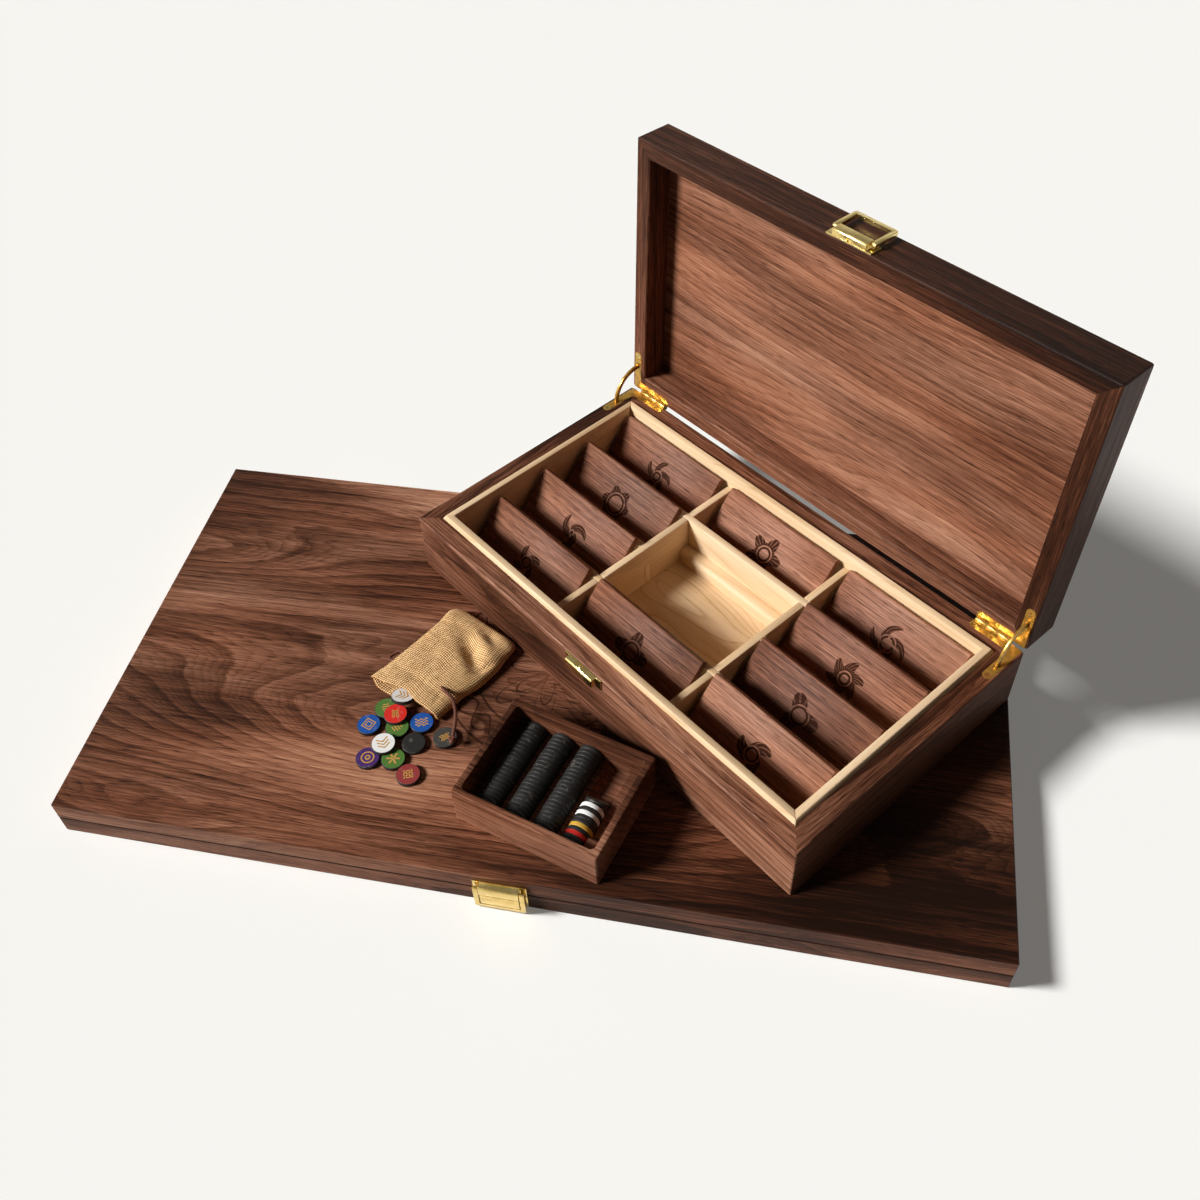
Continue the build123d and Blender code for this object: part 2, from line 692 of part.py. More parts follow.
flat_height = board_thickness + seat_gap + token_thickness / 2
second_height = flat_height + token_thickness + seat_gap
low_tokens = [Pos(x, y, flat_height) * token() for x, y in tokens_flat]
high_tokens = [Pos(x, y, second_height) * token() for x, y in tokens_second]
tilt = Rot(0, 0, tilted_token_turn) * Rot(0, -tilted_token_angle, 0)
high_tokens.append(Pos(*tilted_token, flat_height + tilted_token_rise) * tilt * token())
parts["tokens_low"] = Compound(children=low_tokens)
parts["tokens_high"] = Compound(children=high_tokens)

# Cloth bag: a flat pillow with an open mouth pocket, clear of the tokens that spill from it
bag_length = bag_bottom - bag_mouth
bag = extrude(Rectangle(bag_length, bag_width), bag_thickness)
bag = chamfer(bag.edges().filter_by(Axis.Z), bag_corner)
bag = Pos((bag_bottom + bag_mouth) / 2, 0, 0) * bag
bag = chamfer(bag.edges().group_by(Axis.Z)[-1], bag_top_slope)
bag = chamfer(bag.edges().group_by(Axis.Z)[0], bag_under_slope)
bag -= block(
    (bag_mouth, -bag_pocket_width / 2, bag_cloth),
    (bag_mouth + bag_pocket, bag_pocket_width / 2, bag_thickness - bag_cloth),
)
parts["bag"] = bag_place * bag


# Drawstring: a cord through the hem, with a free end, a knot and a small loop at the far side
def cord_radii(points):
    """Bend radii that use most of the shorter run at each point of the route."""
    radii = []
    for before, here, after in zip(points, points[1:], points[2:]):
        arriving = Vector(*here) - Vector(*before)
        leaving = Vector(*after) - Vector(*here)
        half_bend = math.radians(arriving.get_angle(leaving)) / 2
        radii.append(0.45 * min(arriving.length, leaving.length) / math.tan(half_bend))
    return radii


bends = cord_radii(cord_route)
print("cord bend radii", [round(radius, 1) for radius in bends])
cord_path = FilletPolyline(*cord_route, radius=bends)
cord_section = RegularPolygon(cord_diameter / 2, cord_sides)
cord = sweep(Plane(cord_path @ 0, z_dir=cord_path % 0) * cord_section, path=cord_path)
loop_x, loop_y = side_loop_place
loop_z = bag_thickness / 2
near_x, far_x = loop_x - side_loop_radius, loop_x + side_loop_radius
bend_y = loop_y + side_loop_out
loop_path = Line((near_x, loop_y, loop_z), (near_x, bend_y, loop_z))
loop_path += ThreePointArc(
    (near_x, bend_y, loop_z), (loop_x, bend_y + side_loop_radius, loop_z), (far_x, bend_y, loop_z)
)
loop_path += Line((far_x, bend_y, loop_z), (far_x, loop_y, loop_z))
side_loop = sweep(Plane((near_x, loop_y, loop_z), z_dir=(0, 1, 0)) * cord_section, path=loop_path)
parts["drawstring"] = Compound(children=[cord, bag_place * side_loop])
knot_place = Vector(*cord_route[-1]) + (cord_path % 1) * knot_radius
knot = extrude(RegularPolygon(knot_radius, cord_sides), knot_radius, both=True)
knot = chamfer(knot.edges().group_by(Axis.Z)[0], knot_slope)
knot = chamfer(knot.edges().group_by(Axis.Z)[-1], knot_slope)
parts["drawstring_knot"] = Pos(*knot_place) * knot

os.makedirs("parts", exist_ok=True)
for name, shape in parts.items():
    export_step(shape, f"parts/{name}.step")
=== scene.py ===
import json
import math
import random

import bmesh
import bpy
from mathutils import Matrix, Vector, noise

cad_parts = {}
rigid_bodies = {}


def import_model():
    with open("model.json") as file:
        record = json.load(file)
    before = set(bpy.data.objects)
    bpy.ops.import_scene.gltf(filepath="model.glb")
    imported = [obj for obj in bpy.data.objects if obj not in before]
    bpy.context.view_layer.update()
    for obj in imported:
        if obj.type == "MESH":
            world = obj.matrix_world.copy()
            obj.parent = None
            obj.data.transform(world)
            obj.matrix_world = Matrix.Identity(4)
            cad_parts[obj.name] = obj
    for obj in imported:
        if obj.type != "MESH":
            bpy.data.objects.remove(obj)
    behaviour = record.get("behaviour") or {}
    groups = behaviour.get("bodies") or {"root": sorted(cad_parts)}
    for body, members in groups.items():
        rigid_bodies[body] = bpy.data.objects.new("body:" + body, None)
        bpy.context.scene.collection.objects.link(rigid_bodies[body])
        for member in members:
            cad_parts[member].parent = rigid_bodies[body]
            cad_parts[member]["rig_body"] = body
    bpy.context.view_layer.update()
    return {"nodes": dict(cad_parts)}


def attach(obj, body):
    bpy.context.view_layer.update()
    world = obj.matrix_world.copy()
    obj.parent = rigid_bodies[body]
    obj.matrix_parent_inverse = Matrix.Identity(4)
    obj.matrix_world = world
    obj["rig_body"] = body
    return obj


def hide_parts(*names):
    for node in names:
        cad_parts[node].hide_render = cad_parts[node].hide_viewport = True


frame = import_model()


# The viewpoint: a studio camera that looks down at the set from its front, a little right of its
# middle. It was fitted to the corners of the board and the case in the photograph.
def placed(name, data):
    """A new object of the scene."""
    made = bpy.data.objects.new(name, data)
    bpy.context.scene.collection.objects.link(made)
    return made


azimuth, elevation, roll = (math.radians(angle) for angle in (15.74, 46.73, -5.22))
camera = placed("camera", bpy.data.cameras.new("camera"))
camera.matrix_world = (
    Matrix.Translation((0.1319, -0.4409, 0.6272)) @ Matrix.Rotation(azimuth, 4, "Z")
    @ Matrix.Rotation(math.pi / 2 - elevation, 4, "X") @ Matrix.Rotation(roll, 4, "Z")
)
camera.data.sensor_width = 36.0
camera.data.lens = 37.17
camera.data.shift_x = 0.0382
camera.data.shift_y = -0.0472
camera.data.clip_start = 0.01
bpy.context.scene.camera = camera
bpy.context.scene.view_settings.view_transform = "Standard"


# The drawstring: three reddish-brown plies of jute twisted into one cord. It comes out of an
# eyelet in the bag's hem, drops over the hem and lies across the loose tokens to its knot.
class Wire:
    """One socket of a node tree, so that patterns and sizes are written as plain sums."""

    def __init__(self, nodes, socket):
        self.nodes = nodes
        self.socket = socket

    def outlet(self, name):
        """Another outlet of the same node."""
        return Wire(self.nodes, self.socket.node.outputs[name])

    def maths(self, operation, *others):
        return self.nodes.maths(operation, self, *others)

    def __add__(self, other):
        return self.maths("ADD", other)

    def __sub__(self, other):
        return self.maths("SUBTRACT", other)

    def __rsub__(self, other):
        return self.nodes.maths("SUBTRACT", other, self)

    def __mul__(self, other):
        return self.maths("MULTIPLY", other)

    def __truediv__(self, other):
        return self.maths("DIVIDE", other)

    def __pow__(self, other):
        return self.maths("POWER", other)

    def __abs__(self):
        return self.maths("ABSOLUTE")

    __radd__ = __add__
    __rmul__ = __mul__

    def above(self, edge, softness, low=0.0, high=1.0):
        """Low below the edge and high above it, with a soft step between."""
        span = {"Value": self, "From Min": edge - softness, "From Max": edge + softness}
        span.update({"To Min": low, "To Max": high})
        return self.nodes.node("ShaderNodeMapRange", {"interpolation_type": "SMOOTHSTEP"}, span)


class Nodes:
    """A node tree, built up node by node."""

    def __init__(self, tree):
        self.tree = tree
        tree.nodes.clear()

    def node(self, kind, settings=None, inputs=None, outlet=0):
        """One node with its settings and sockets, and the outlet that is wanted of it."""
        made = self.tree.nodes.new(kind)
        for key, value in (settings or {}).items():
            if key == "stops":
                ramp = made.color_ramp
                while len(ramp.elements) < len(value):
                    ramp.elements.new(1.0)
                for element, (position, colour) in zip(ramp.elements, value):
                    element.position = position
                    element.color = colour
            else:
                setattr(made, key, value)
        self.fill(made, inputs or {})
        return Wire(self, made.outputs[outlet]) if made.outputs else None

    def fill(self, made, inputs):
        """Sets a node's sockets or leads wires into them."""
        for key, value in inputs.items():
            for one in value if isinstance(value, list) else [value]:
                if isinstance(one, Wire):
                    self.tree.links.new(one.socket, made.inputs[key])
                else:
                    made.inputs[key].default_value = one

    def maths(self, operation, *values):
        return self.node("ShaderNodeMath", {"operation": operation}, dict(enumerate(values)))

    def blend(self, share, first, second, mode="MIX"):
        """Two colours mixed."""
        settings = {"data_type": "RGBA", "blend_type": mode}
        return self.node("ShaderNodeMix", settings, {"Factor": share, 6: first, 7: second}, outlet=2)


class Finish(Nodes):
    """The shader tree of one finish of this set. What is even all over is set on its shader."""

    def __init__(self, name, even=None):
        self.material = bpy.data.materials.new(name)
        self.material.use_nodes = True
        super().__init__(self.material.node_tree)
        surface = self.node("ShaderNodeBsdfPrincipled", {}, even)
        self.shader = surface.socket.node
        self.node("ShaderNodeOutputMaterial", {}, {"Surface": surface})

    def feed(self, patterns):
        """Leads patterns into the shader."""
        self.fill(self.shader, patterns)

    def place(self, at=(0, 0, 0), turn=(0, 0, 0)):
        """Coordinates in metres in the frame of one piece of stock, whose place is in mm."""
        inputs = {
            "Vector": self.node("ShaderNodeTexCoord", outlet="Object"),
            "Location": Vector(at) / 1000, "Rotation": turn,
        }
        return self.node("ShaderNodeMapping", {"vector_type": "TEXTURE"}, inputs)

    def axes(self, vector):
        """The three coordinates of a vector."""
        first = self.node("ShaderNodeSeparateXYZ", {}, {"Vector": vector})
        return [first.outlet(axis) for axis in "XYZ"]

    def cloud(self, vector, scale, detail=2.0, roughness=0.5, shift=(0, 0, 0)):
        """Soft noise about 0.5, stretched along the axes and shifted."""
        inputs = {"Vector": vector, "Location": shift, "Scale": scale}
        vector = self.node("ShaderNodeMapping", {}, inputs)
        inputs = {"Vector": vector, "Scale": 1.0, "Detail": detail, "Roughness": roughness}
        return self.node("ShaderNodeTexNoise", {}, inputs)

    def specks(self, fineness, detail=3.0):
        """Soft noise about 0.5 that is alike in every direction."""
        return self.cloud(self.place(), (fineness, fineness, fineness), detail, 0.6)

    def ramp(self, value, stops):
        """A colour picked by a value."""
        return self.node("ShaderNodeValToRGB", {"stops": stops}, {"Fac": value})

    def relief(self, height, depth):
        """A bump of that depth in metres."""
        self.feed({"Normal": self.node("ShaderNodeBump", {}, {"Height": height, "Distance": depth})})


def paint(red, green, blue):
    """A colour written in the usual 0 to 255 values, as the shader takes it."""
    linear = [
        value / 3294.6 if value <= 10.3 else ((value / 255 + 0.055) / 1.055) ** 2.4
        for value in (red, green, blue)
    ]
    return (*linear, 1.0)


def settle(piece, finish, body, slot, replaced=(), smooth=True):
    """Gives a piece its finish, its body and the CAD nodes that it stands for."""
    if finish is not None:
        piece.data.materials.clear()
        piece.data.materials.append(finish.material)
    piece.data.polygons.foreach_set("use_smooth", [smooth] * len(piece.data.polygons))
    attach(piece, body)
    if replaced:
        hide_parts(*replaced)
    return piece


def mesh_piece(name, verts, faces, *settling, **options):
    """A piece made of vertices in metres and faces, and settled."""
    mesh = bpy.data.meshes.new(name)
    mesh.from_pydata(verts, [], faces)
    mesh.update()
    return settle(placed(name, mesh), *settling, **options)


def tube_rings(points, radius, sides, offset=0.0, pitch=None, phase=0.0):
    """Rings of points round a path, or round a helix that winds along it."""
    tangent = (points[1] - points[0]).normalized()
    across = tangent.orthogonal().normalized()
    run = 0.0
    rings = []
    for index, point in enumerate(points):
        ahead = points[min(index + 1, len(points) - 1)] - points[max(index - 1, 0)]
        new_tangent = ahead.normalized()
        across = (tangent.rotation_difference(new_tangent) @ across).normalized()
        tangent = new_tangent
        beside = tangent.cross(across)
        centre = point
        if pitch:
            run += (point - points[max(index - 1, 0)]).length
            angle = phase + 2 * math.pi * run / pitch
            centre = point + offset * (math.cos(angle) * across + math.sin(angle) * beside)
        angles = [2 * math.pi * step / sides for step in range(sides)]
        rings.append([centre + radius * (math.cos(a) * across + math.sin(a) * beside) for a in angles])
    return rings


def skin(rings, closed_loop=False):
    """Vertices and faces of a tube through rings of equal counts, with flat ends or without any."""
    sides = len(rings[0])
    verts = [point for ring in rings for point in ring]
    faces = []
    for row in range(len(rings) if closed_loop else len(rings) - 1):
        here, there = row * sides, (row + 1) % len(rings) * sides
        for step in range(sides):
            following = (step + 1) % sides
            faces.append((here + step, here + following, there + following, there + step))
    if not closed_loop:
        faces.append(tuple(reversed(range(sides))))
        faces.append(tuple(range(len(verts) - sides, len(verts))))
    return verts, faces


def twisted(line, radius, offset):
    """Vertices and faces of three plies wound round each other along a line."""
    twist_pitch = 0.0052
    verts, faces = [], []
    for ply in range(3):
        rings = tube_rings(line, radius, 8, offset, twist_pitch, 2 * math.pi * ply / 3)
        ply_verts, ply_faces = skin(rings)
        faces.extend(tuple(index + len(verts) for index in face) for face in ply_faces)
        verts.extend(ply_verts)
    return verts, faces


def fine_path(points, segments):
    """The line of a smooth spline whose control points are given."""
    curve = bpy.data.curves.new("route", "CURVE")
    curve.dimensions = "3D"
    curve.resolution_u = segments
    spline = curve.splines.new("NURBS")
    spline.points.add(len(points) - 1)
    for control, point in zip(spline.points, points):
        control.co = (*point, 1.0)
    spline.order_u = 3
    spline.use_endpoint_u = True
    carrier = bpy.data.objects.new("route", curve)
    line = bpy.data.meshes.new_from_object(carrier)
    path = [vertex.co.copy() for vertex in line.vertices]
    bpy.data.objects.remove(carrier)
    return path


jute = Finish("twisted_jute", {"Roughness": 0.85, "Specular IOR Level": 0.2})
fibres = jute.specks(2600, 4.0)
jute.feed({"Base Color": jute.ramp(fibres, [
    (0.3, paint(66, 36, 28)), (0.5, paint(112, 68, 54)), (0.72, paint(158, 112, 90)),
])})
jute.relief(fibres, 0.0002)

cord_diameter = 0.0024
cord_route = [
    (-0.0620, -0.0290, 0.0350), (-0.0570, -0.0345, 0.0389), (-0.0510, -0.0395, 0.0382),
    (-0.0479, -0.0470, 0.0350), (-0.0469, -0.0545, 0.0330), (-0.0465, -0.0604, 0.0327),
]
cord_line = fine_path(cord_route, 14)
drawstring = mesh_piece(
    "drawstring_cord", *twisted(cord_line, cord_diameter * 0.27, cord_diameter * 0.23), jute,
    "cloth_bag", "cord", ["drawstring"],
)

# The knot: a plain overhand knot at the end of the same cord, pulled tight, with its short tail
# tucked into it.
knot_centre = Vector((-0.0464, -0.0630, 0.0327))
knot_reach, knot_lift, knot_radius, knot_steps = 0.00052, 0.0009, 0.00095, 48
knot_turns = [
    knot_centre + Vector((
        (math.sin(angle) + 2 * math.sin(2 * angle)) * knot_reach,
        (math.cos(angle) - 2 * math.cos(2 * angle)) * knot_reach,
        -math.sin(3 * angle) * knot_lift,
    ))
    for angle in (2 * math.pi * step / knot_steps for step in range(knot_steps))
]
knot_rings = tube_rings(knot_turns + knot_turns[:1], knot_radius, 10)[:-1]
knot = mesh_piece(
    "drawstring_knot_tied", *skin(knot_rings, closed_loop=True), jute, "cloth_bag", "cord",
    ["drawstring_knot"],
)

# The table: a pale, matt, seamless sweep under the set. It is seen near white and lights the set as
# a darker one would, and only the set's shadow shows on it.
backdrop_colour = paint(245, 244, 240)
table_mesh = bpy.data.meshes.new("table")
table_mesh.from_pydata([(-9, -9, 0), (9, -9, 0), (9, 9, 0), (-9, 9, 0)], [], [(0, 1, 2, 3)])
table = placed("table", table_mesh)
sweep = bpy.data.materials.new("pale_sweep")
sweep.use_nodes = True
table_mesh.materials.append(sweep)
sweep_nodes = Nodes(sweep.node_tree)
rays = sweep_nodes.node("ShaderNodeLightPath", outlet="Is Camera Ray")
for outlet in ("Is Glossy Ray", "Is Transmission Ray"):
    rays = rays.maths("MAXIMUM", sweep_nodes.node("ShaderNodeLightPath", outlet=outlet))
pale = sweep_nodes.blend(rays, paint(84, 83, 82), paint(254, 253, 249))
matt = sweep_nodes.node("ShaderNodeBsdfDiffuse", {}, {"Color": pale})
glow = sweep_nodes.node("ShaderNodeEmission", {}, {"Color": backdrop_colour})
mixed = sweep_nodes.node("ShaderNodeMixShader", {}, {0: rays * 0.15, 1: matt, 2: glow})
sweep_nodes.node("ShaderNodeOutputMaterial", {}, {"Surface": mixed})

# The lamps: a large soft lamp from the front left for the set, and a steeper one for the sweep, with
# a weak even fill from all round. Bright card shows in the metal, and a dim ceiling above it.
for lamp_name, shining, energy, width, link_state in (
    ("key_lamp", (1.12, 0.47, -0.79), 5.0, 16, "EXCLUDE"),
    ("sweep_lamp", (0.954, 0.176, -1.0), 3.95, 12, "INCLUDE"),
):
    lamp = placed(lamp_name, bpy.data.lights.new(lamp_name, "SUN"))
    lamp.rotation_euler = Vector(shining).to_track_quat("-Z", "Y").to_euler()
    lamp.data.energy = energy
    lamp.data.angle = math.radians(width)
    lit = bpy.data.collections.new(lamp_name + "_lights")
    lit.objects.link(table)
    lit.collection_objects[0].light_linking.link_state = link_state
    lamp.light_linking.receiver_collection = lit
world = bpy.data.worlds.new("studio")
bpy.context.scene.world = world
world.use_nodes = True
room = Nodes(world.node_tree)
seen = room.node("ShaderNodeLightPath", outlet="Is Camera Ray")
mirrored = seen.outlet("Is Glossy Ray").maths("MAXIMUM", seen.outlet("Is Transmission Ray"))
direction = room.node("ShaderNodeTexCoord", outlet="Generated")
height = room.node("ShaderNodeSeparateXYZ", {}, {"Vector": direction}, outlet="Z")
ceiling = height.above(0.37, 0.25, 1.0, 0.28)
card = room.node("ShaderNodeBackground", {}, {"Color": backdrop_colour, "Strength": ceiling})
backdrop = room.node("ShaderNodeBackground", {}, {"Color": backdrop_colour})
fill = room.node("ShaderNodeBackground", {}, {"Color": (1.0, 0.82, 0.66, 1.0), "Strength": 0.036})
unseen = room.node("ShaderNodeMixShader", {}, {0: mirrored, 1: fill, 2: card})
studio = room.node("ShaderNodeMixShader", {}, {0: seen, 1: unseen, 2: backdrop})
room.node("ShaderNodeOutputWorld", {}, {"Surface": studio})

# The folding board: two slabs of dark walnut, oiled to a satin sheen, shut on each other. Its
# growth rings flow round several hearts, as long arches and closed ovals.
WALNUT = [
    (0.0, paint(28, 14, 8)), (0.28, paint(64, 36, 23)), (0.5, paint(110, 70, 51)),
    (0.72, paint(153, 107, 84)), (1.0, paint(194, 150, 122)),
]


def walnut(name, at=(0, 0, 0), turn=(0, 0, 0), figures=(), spacing=6.0, seed=0.0, drift=3.0,
           lightness=0.0, contrast=1.0, engraving=None, burn=0.7, joint=None, painted_shade=(), painted_sheen_height=None):
    """Walnut stock whose grain runs along its own X, with Z out of its broad face. Each
    figure is a heart: its place, its reach along and across the grain, and its ring count.
    A joint is a height in millimetres with a line of painted shadow and old polish along it,
    below a given height the sides are paler with painted sheen, and each patch of painted
    shade is a place, two reaches and a depth."""
    wood = Finish(name, {"Specular IOR Level": 0.1})
    place = wood.place(at, turn)
    along, side, depth = wood.axes(place)

    def hump(x, y, reach_x, reach_y):
        """1 at a place on the stock, falling off smoothly over its two reaches."""
        across = (along - x / 1000) * (1000 / reach_x)
        beside = (side - y / 1000) * (1000 / reach_y)
        return ((across * across + beside * beside) * -1.0).maths("EXPONENT")

    wander = wood.cloud(place, (4, 17, 17), 2.5, 0.5, (seed, 0, 0)) - 0.5
    flow = (side + depth * 0.6) * (1000 / spacing) + wander * (2 * drift)
    for *heart, count in figures:
        flow = flow + hump(*heart) * count
    flow = flow + (wood.cloud(place, (24, 120, 120), 2.0, 0.6, (seed, 2, 0)) - 0.5) * 0.42
    streaked = wood.cloud(place, (12, 90, 90), 2.0, 0.5, (seed, 5, 1)) * 1.6
    ring = flow.maths("FRACT")
    late = ring ** 7.0 * (1.0 - ring.above(0.95, 0.05))
    fine = (flow * 5.0 + streaked).maths("FRACT") ** 3.0
    broad = wood.cloud(place, (3.5, 16, 16), 2.0, 0.5, (seed, 9, 2)) - 0.5
    streak = wood.cloud(place, (5, 150, 150), 3.0, 0.65, (seed, 3, 0)) - 0.5
    fibre = wood.cloud(place, (30, 1100, 1100), 3.0, 0.65, (seed, 0, 7)) - 0.5
    pore = wood.cloud(place, (95, 1900, 1900), 1.5, 0.5, (0, seed, 0)).above(0.64, 0.06)
    patch = wood.cloud(place, (9, 30, 30), 1.0, 0.5, (0, seed, 4))
    tone = 0.62 + lightness - late * (patch * (0.36 * contrast)) - ring * (0.1 * contrast)
    tone = tone - fine * (patch * (0.2 * contrast)) + broad * (1.5 * contrast)
    tone = tone + streak * (0.36 * contrast) + fibre * 0.75 - pore * 0.24
    # Painted shade: each patch darkens the stock where shadow and shade fall on it in the set.
    for *where, deep in painted_shade:
        tone = tone - hump(*where) * deep
    # Painted sheen: the sides below the given height are paler all over.
    if painted_sheen_height is not None:
        tone = tone + (1.0 - (depth * 1000).above(painted_sheen_height, 0.3)) * 0.26
    gloss = 0.48 - fibre * 0.25
    height = fibre * 0.5 - pore
    if engraving is not None:
        cut = engraving(along * 1000, side * 1000)
        tone = tone * (1.0 - cut * burn)
        gloss = gloss + cut * 0.4
        height = height - cut * 2.0
    # Painted shadow and old polish: a darker line along the joint between the halves.
    if joint is not None:
        tone = tone * (abs(depth * 1000 - joint).above(0.55, 0.35) * 0.85 + 0.15)
    warmth = wood.cloud(place, (5, 24, 24), 2.0, 0.5, (7, seed, 1)).above(0.52, 0.16)
    colour = wood.blend(warmth * 0.8, wood.ramp(tone, WALNUT), (1.1, 0.95, 0.84, 1.0), "MULTIPLY")
    wood.feed({"Base Color": colour, "Roughness": gloss})
    wood.relief(height, 0.00006)
    return wood


def dress(finish, *nodes):
    """Gives CAD nodes, whose shape is right, their finish."""
    for node in nodes:
        mesh = frame["nodes"][node].data
        mesh.materials.clear()
        mesh.materials.append(finish.material)


def from_middle(across, up):
    """How far a point of an engraving is from its middle, and in which direction."""
    return (across * across + up * up).maths("SQRT"), up.maths("ARCTAN2", across)


def braid_and_rosette(across, up):
    """An engraved roundel: a braided ring between two circles, round an eight-petal flower."""
    radius, angle = from_middle(across, up)
    wave = (angle * 12.0).maths("SINE")
    petals = abs((angle * 4.0).maths("COSINE"))
    lines = abs(radius - 66.0)
    for line in (
        radius - 46.0, radius - 56.0 - wave * 6.0, radius - 56.0 + wave * 6.0,
        radius - petals * 40.0, radius - petals * 26.0,
    ):
        lines = lines.maths("MINIMUM", abs(line))
    return 1.0 - lines.above(0.75, 0.3)


# The top half: painted shade on its right part, where the case's shadow falls, and round the bag and the
# tray, two fainter darker strips towards its front edge, painted sheen on its sides and painted shadow at
# the joint.
board_top = walnut(
    "walnut_board_top", spacing=11.5, drift=1.5, lightness=0.07, contrast=1.15,
    figures=[
        (-70, -66, 150, 48, 8.5), (-290, 58, 150, 26, 4.6), (70, 118, 150, 26, 4.2),
        (215, -60, 90, 30, -5.0), (-210, -140, 80, 16, 2.2),
    ],
    engraving=braid_and_rosette, burn=0.45, joint=13.7, painted_sheen_height=26.4,
    painted_shade=[
        (240, -40, 130, 300, 0.3), (15, -70, 105, 90, 0.26), (70, -140, 160, 50, 0.08),
        (-90, -125, 120, 40, 0.05),
    ],
)
# The lower half: painted shade on its right part and painted shadow at the joint.
board_under = walnut(
    "walnut_board_under", figures=[(40, 20, 160, 40, 5)], spacing=12.0, seed=4.0, joint=13.3,
    lightness=0.08, painted_shade=[(240, 0, 200, 400, 0.3)],
)
dress(board_top, "board_upper")
dress(board_under, "board_lower")
dress(walnut("veneer_field", spacing=5.0, seed=6.0, lightness=0.2), "playfield_upper", "playfield_lower")

# Brass hardware with eased edges, polished and lacquered: board hinges and loop latches outside on
# the wood, corner hinges and curved stays let into it.
brass = Finish("polished_brass", {"Metallic": 1.0, "Coat Weight": 0.12, "Coat Roughness": 0.05})
smears = brass.specks(160)
scratches = brass.cloud(brass.place(), (3000, 300, 300), 2.0, 0.6)
brass.feed({
    "Base Color": brass.ramp(smears, [(0.3, paint(218, 186, 108)), (0.7, paint(242, 218, 148))]),
    "Roughness": 0.17 + smears * 0.1 + scratches * 0.04,
})
hinge_brass = Finish("hinge_brass", {"Metallic": 0.65, "Specular IOR Level": 0.6})
tarnish = hinge_brass.specks(220)
hinge_brass.feed({
    "Base Color": hinge_brass.ramp(tarnish, [(0.3, paint(166, 122, 48)), (0.7, paint(204, 162, 76))]),
    "Roughness": 0.24 + tarnish * 0.08,
})


def finished(piece):
    """Turns what a piece's modifier makes into its plain mesh."""
    bpy.context.view_layer.update()
    evaluated = piece.evaluated_get(bpy.context.evaluated_depsgraph_get())
    mesh = bpy.data.meshes.new_from_object(evaluated)
    piece.modifiers.clear()
    piece.data = mesh
    return piece


def crisp(piece, degrees=32):
    """Keeps a smooth piece's sharper edges sharp."""
    piece.data.set_sharp_from_angle(angle=math.radians(degrees))


def softened(node, ending, finish, slot, width):
    """A copy of a CAD node whose sharp edges are eased, on the same body."""
    mesh = frame["nodes"][node].data.copy()
    work = bmesh.new()
    work.from_mesh(mesh)
    bmesh.ops.remove_doubles(work, verts=work.verts, dist=1e-6)
    bmesh.ops.dissolve_limit(work, angle_limit=math.radians(1), verts=work.verts, edges=work.edges)
    work.to_mesh(mesh)
    work.free()
    copy = placed(node + ending, mesh)
    ease = copy.modifiers.new("ease", "BEVEL")
    ease.width = width
    ease.segments = 2
    ease.limit_method = "ANGLE"
    ease.angle_limit = math.radians(35)
    crisp(settle(finished(copy), finish, frame["nodes"][node]["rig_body"], slot, [node]))


for node in (
    "board_hinge_leaves_upper", "board_hinge_leaves_lower", "board_latch_block",
    "board_latch_loop", "board_catch", "lid_latch_block", "lid_latch_loop", "case_catch",
):
    softened(node, "_polished", brass, "brass", 0.00025)
for node in ("hinge_leaves_base", "hinge_leaves_lid", "hinge_stays"):
    softened(node, "_polished", hinge_brass, "brass", 0.0002)
dress(brass, "board_hinge_pins")
dress(hinge_brass, "hinge_pins")

# The board catch's raised face: a plate with eased edges that fills the shut loop, its corners in mm
plate_low, plate_high, plate_ease = (-11.3, -145.4, 4.1), (10.7, -142.7, 13.15), 0.3
work = bmesh.new()
bmesh.ops.create_cube(work, size=1.0)
for vertex in work.verts:
    vertex.co = Vector(
        (low + high) / 2 + half * (high - low)
        for half, low, high in zip(vertex.co, plate_low, plate_high)
    ) / 1000
bmesh.ops.bevel(work, geom=work.edges, offset=plate_ease / 1000, segments=2, affect="EDGES", profile=0.6)
plate_mesh = bpy.data.meshes.new("board_catch_face")
work.to_mesh(plate_mesh)
work.free()
crisp(settle(placed("board_catch_face", plate_mesh), brass, "board_lower_half", "brass"))

# The card case: four mitred walnut walls, glued at the corners and grooved for the floor. It stands
# loose on the board, at an angle to it.
board_top_height = 27.05
case_yaw, lid_angle, QUARTER = math.radians(-37.9), math.radians(-92.2), math.pi / 2
case_at = (82.296, 46.904, board_top_height)


def case_turn(*turns, lid=False):
    """The turn of stock in the case or its open lid, with extra turns about its own axes."""
    turn = Matrix.Rotation(case_yaw, 3, "Z")
    for axis, angle in ((("X", lid_angle),) if lid else ()) + turns:
        turn = turn @ Matrix.Rotation(angle, 3, axis)
    return tuple(turn.to_euler("XYZ"))


on_face, endwise = ("X", QUARTER), ("Z", QUARTER)
# The front wall's stock is painted paler than the other three: painted light on its lit face.
for side, turns, seed, lightness in (
    ("front", (on_face,), 1.0, 0.17), ("back", (on_face,), 2.0, 0.0),
    ("left", (endwise, on_face), 3.0, 0.0), ("right", (endwise, on_face), 5.0, 0.0),
):
    stock = walnut(
        f"walnut_case_{side}", case_at, case_turn(*turns), spacing=7.0, seed=seed, drift=2.4,
        lightness=lightness, contrast=1.2, figures=[(seed * 60 - 170, 20, 110, 16, 3)],
    )
    dress(stock, f"case_wall_{side}")

# The maple liner, floor and dividers: pale, close-grained boards. The liner stands proud of the
# rim to locate the lid, the floor sits in a groove, and the dividers are notched into each other.
MAPLE = [
    (0.0, paint(158, 112, 74)), (0.22, paint(200, 164, 120)), (0.48, paint(224, 192, 151)),
    (0.8, paint(240, 214, 178)),
]


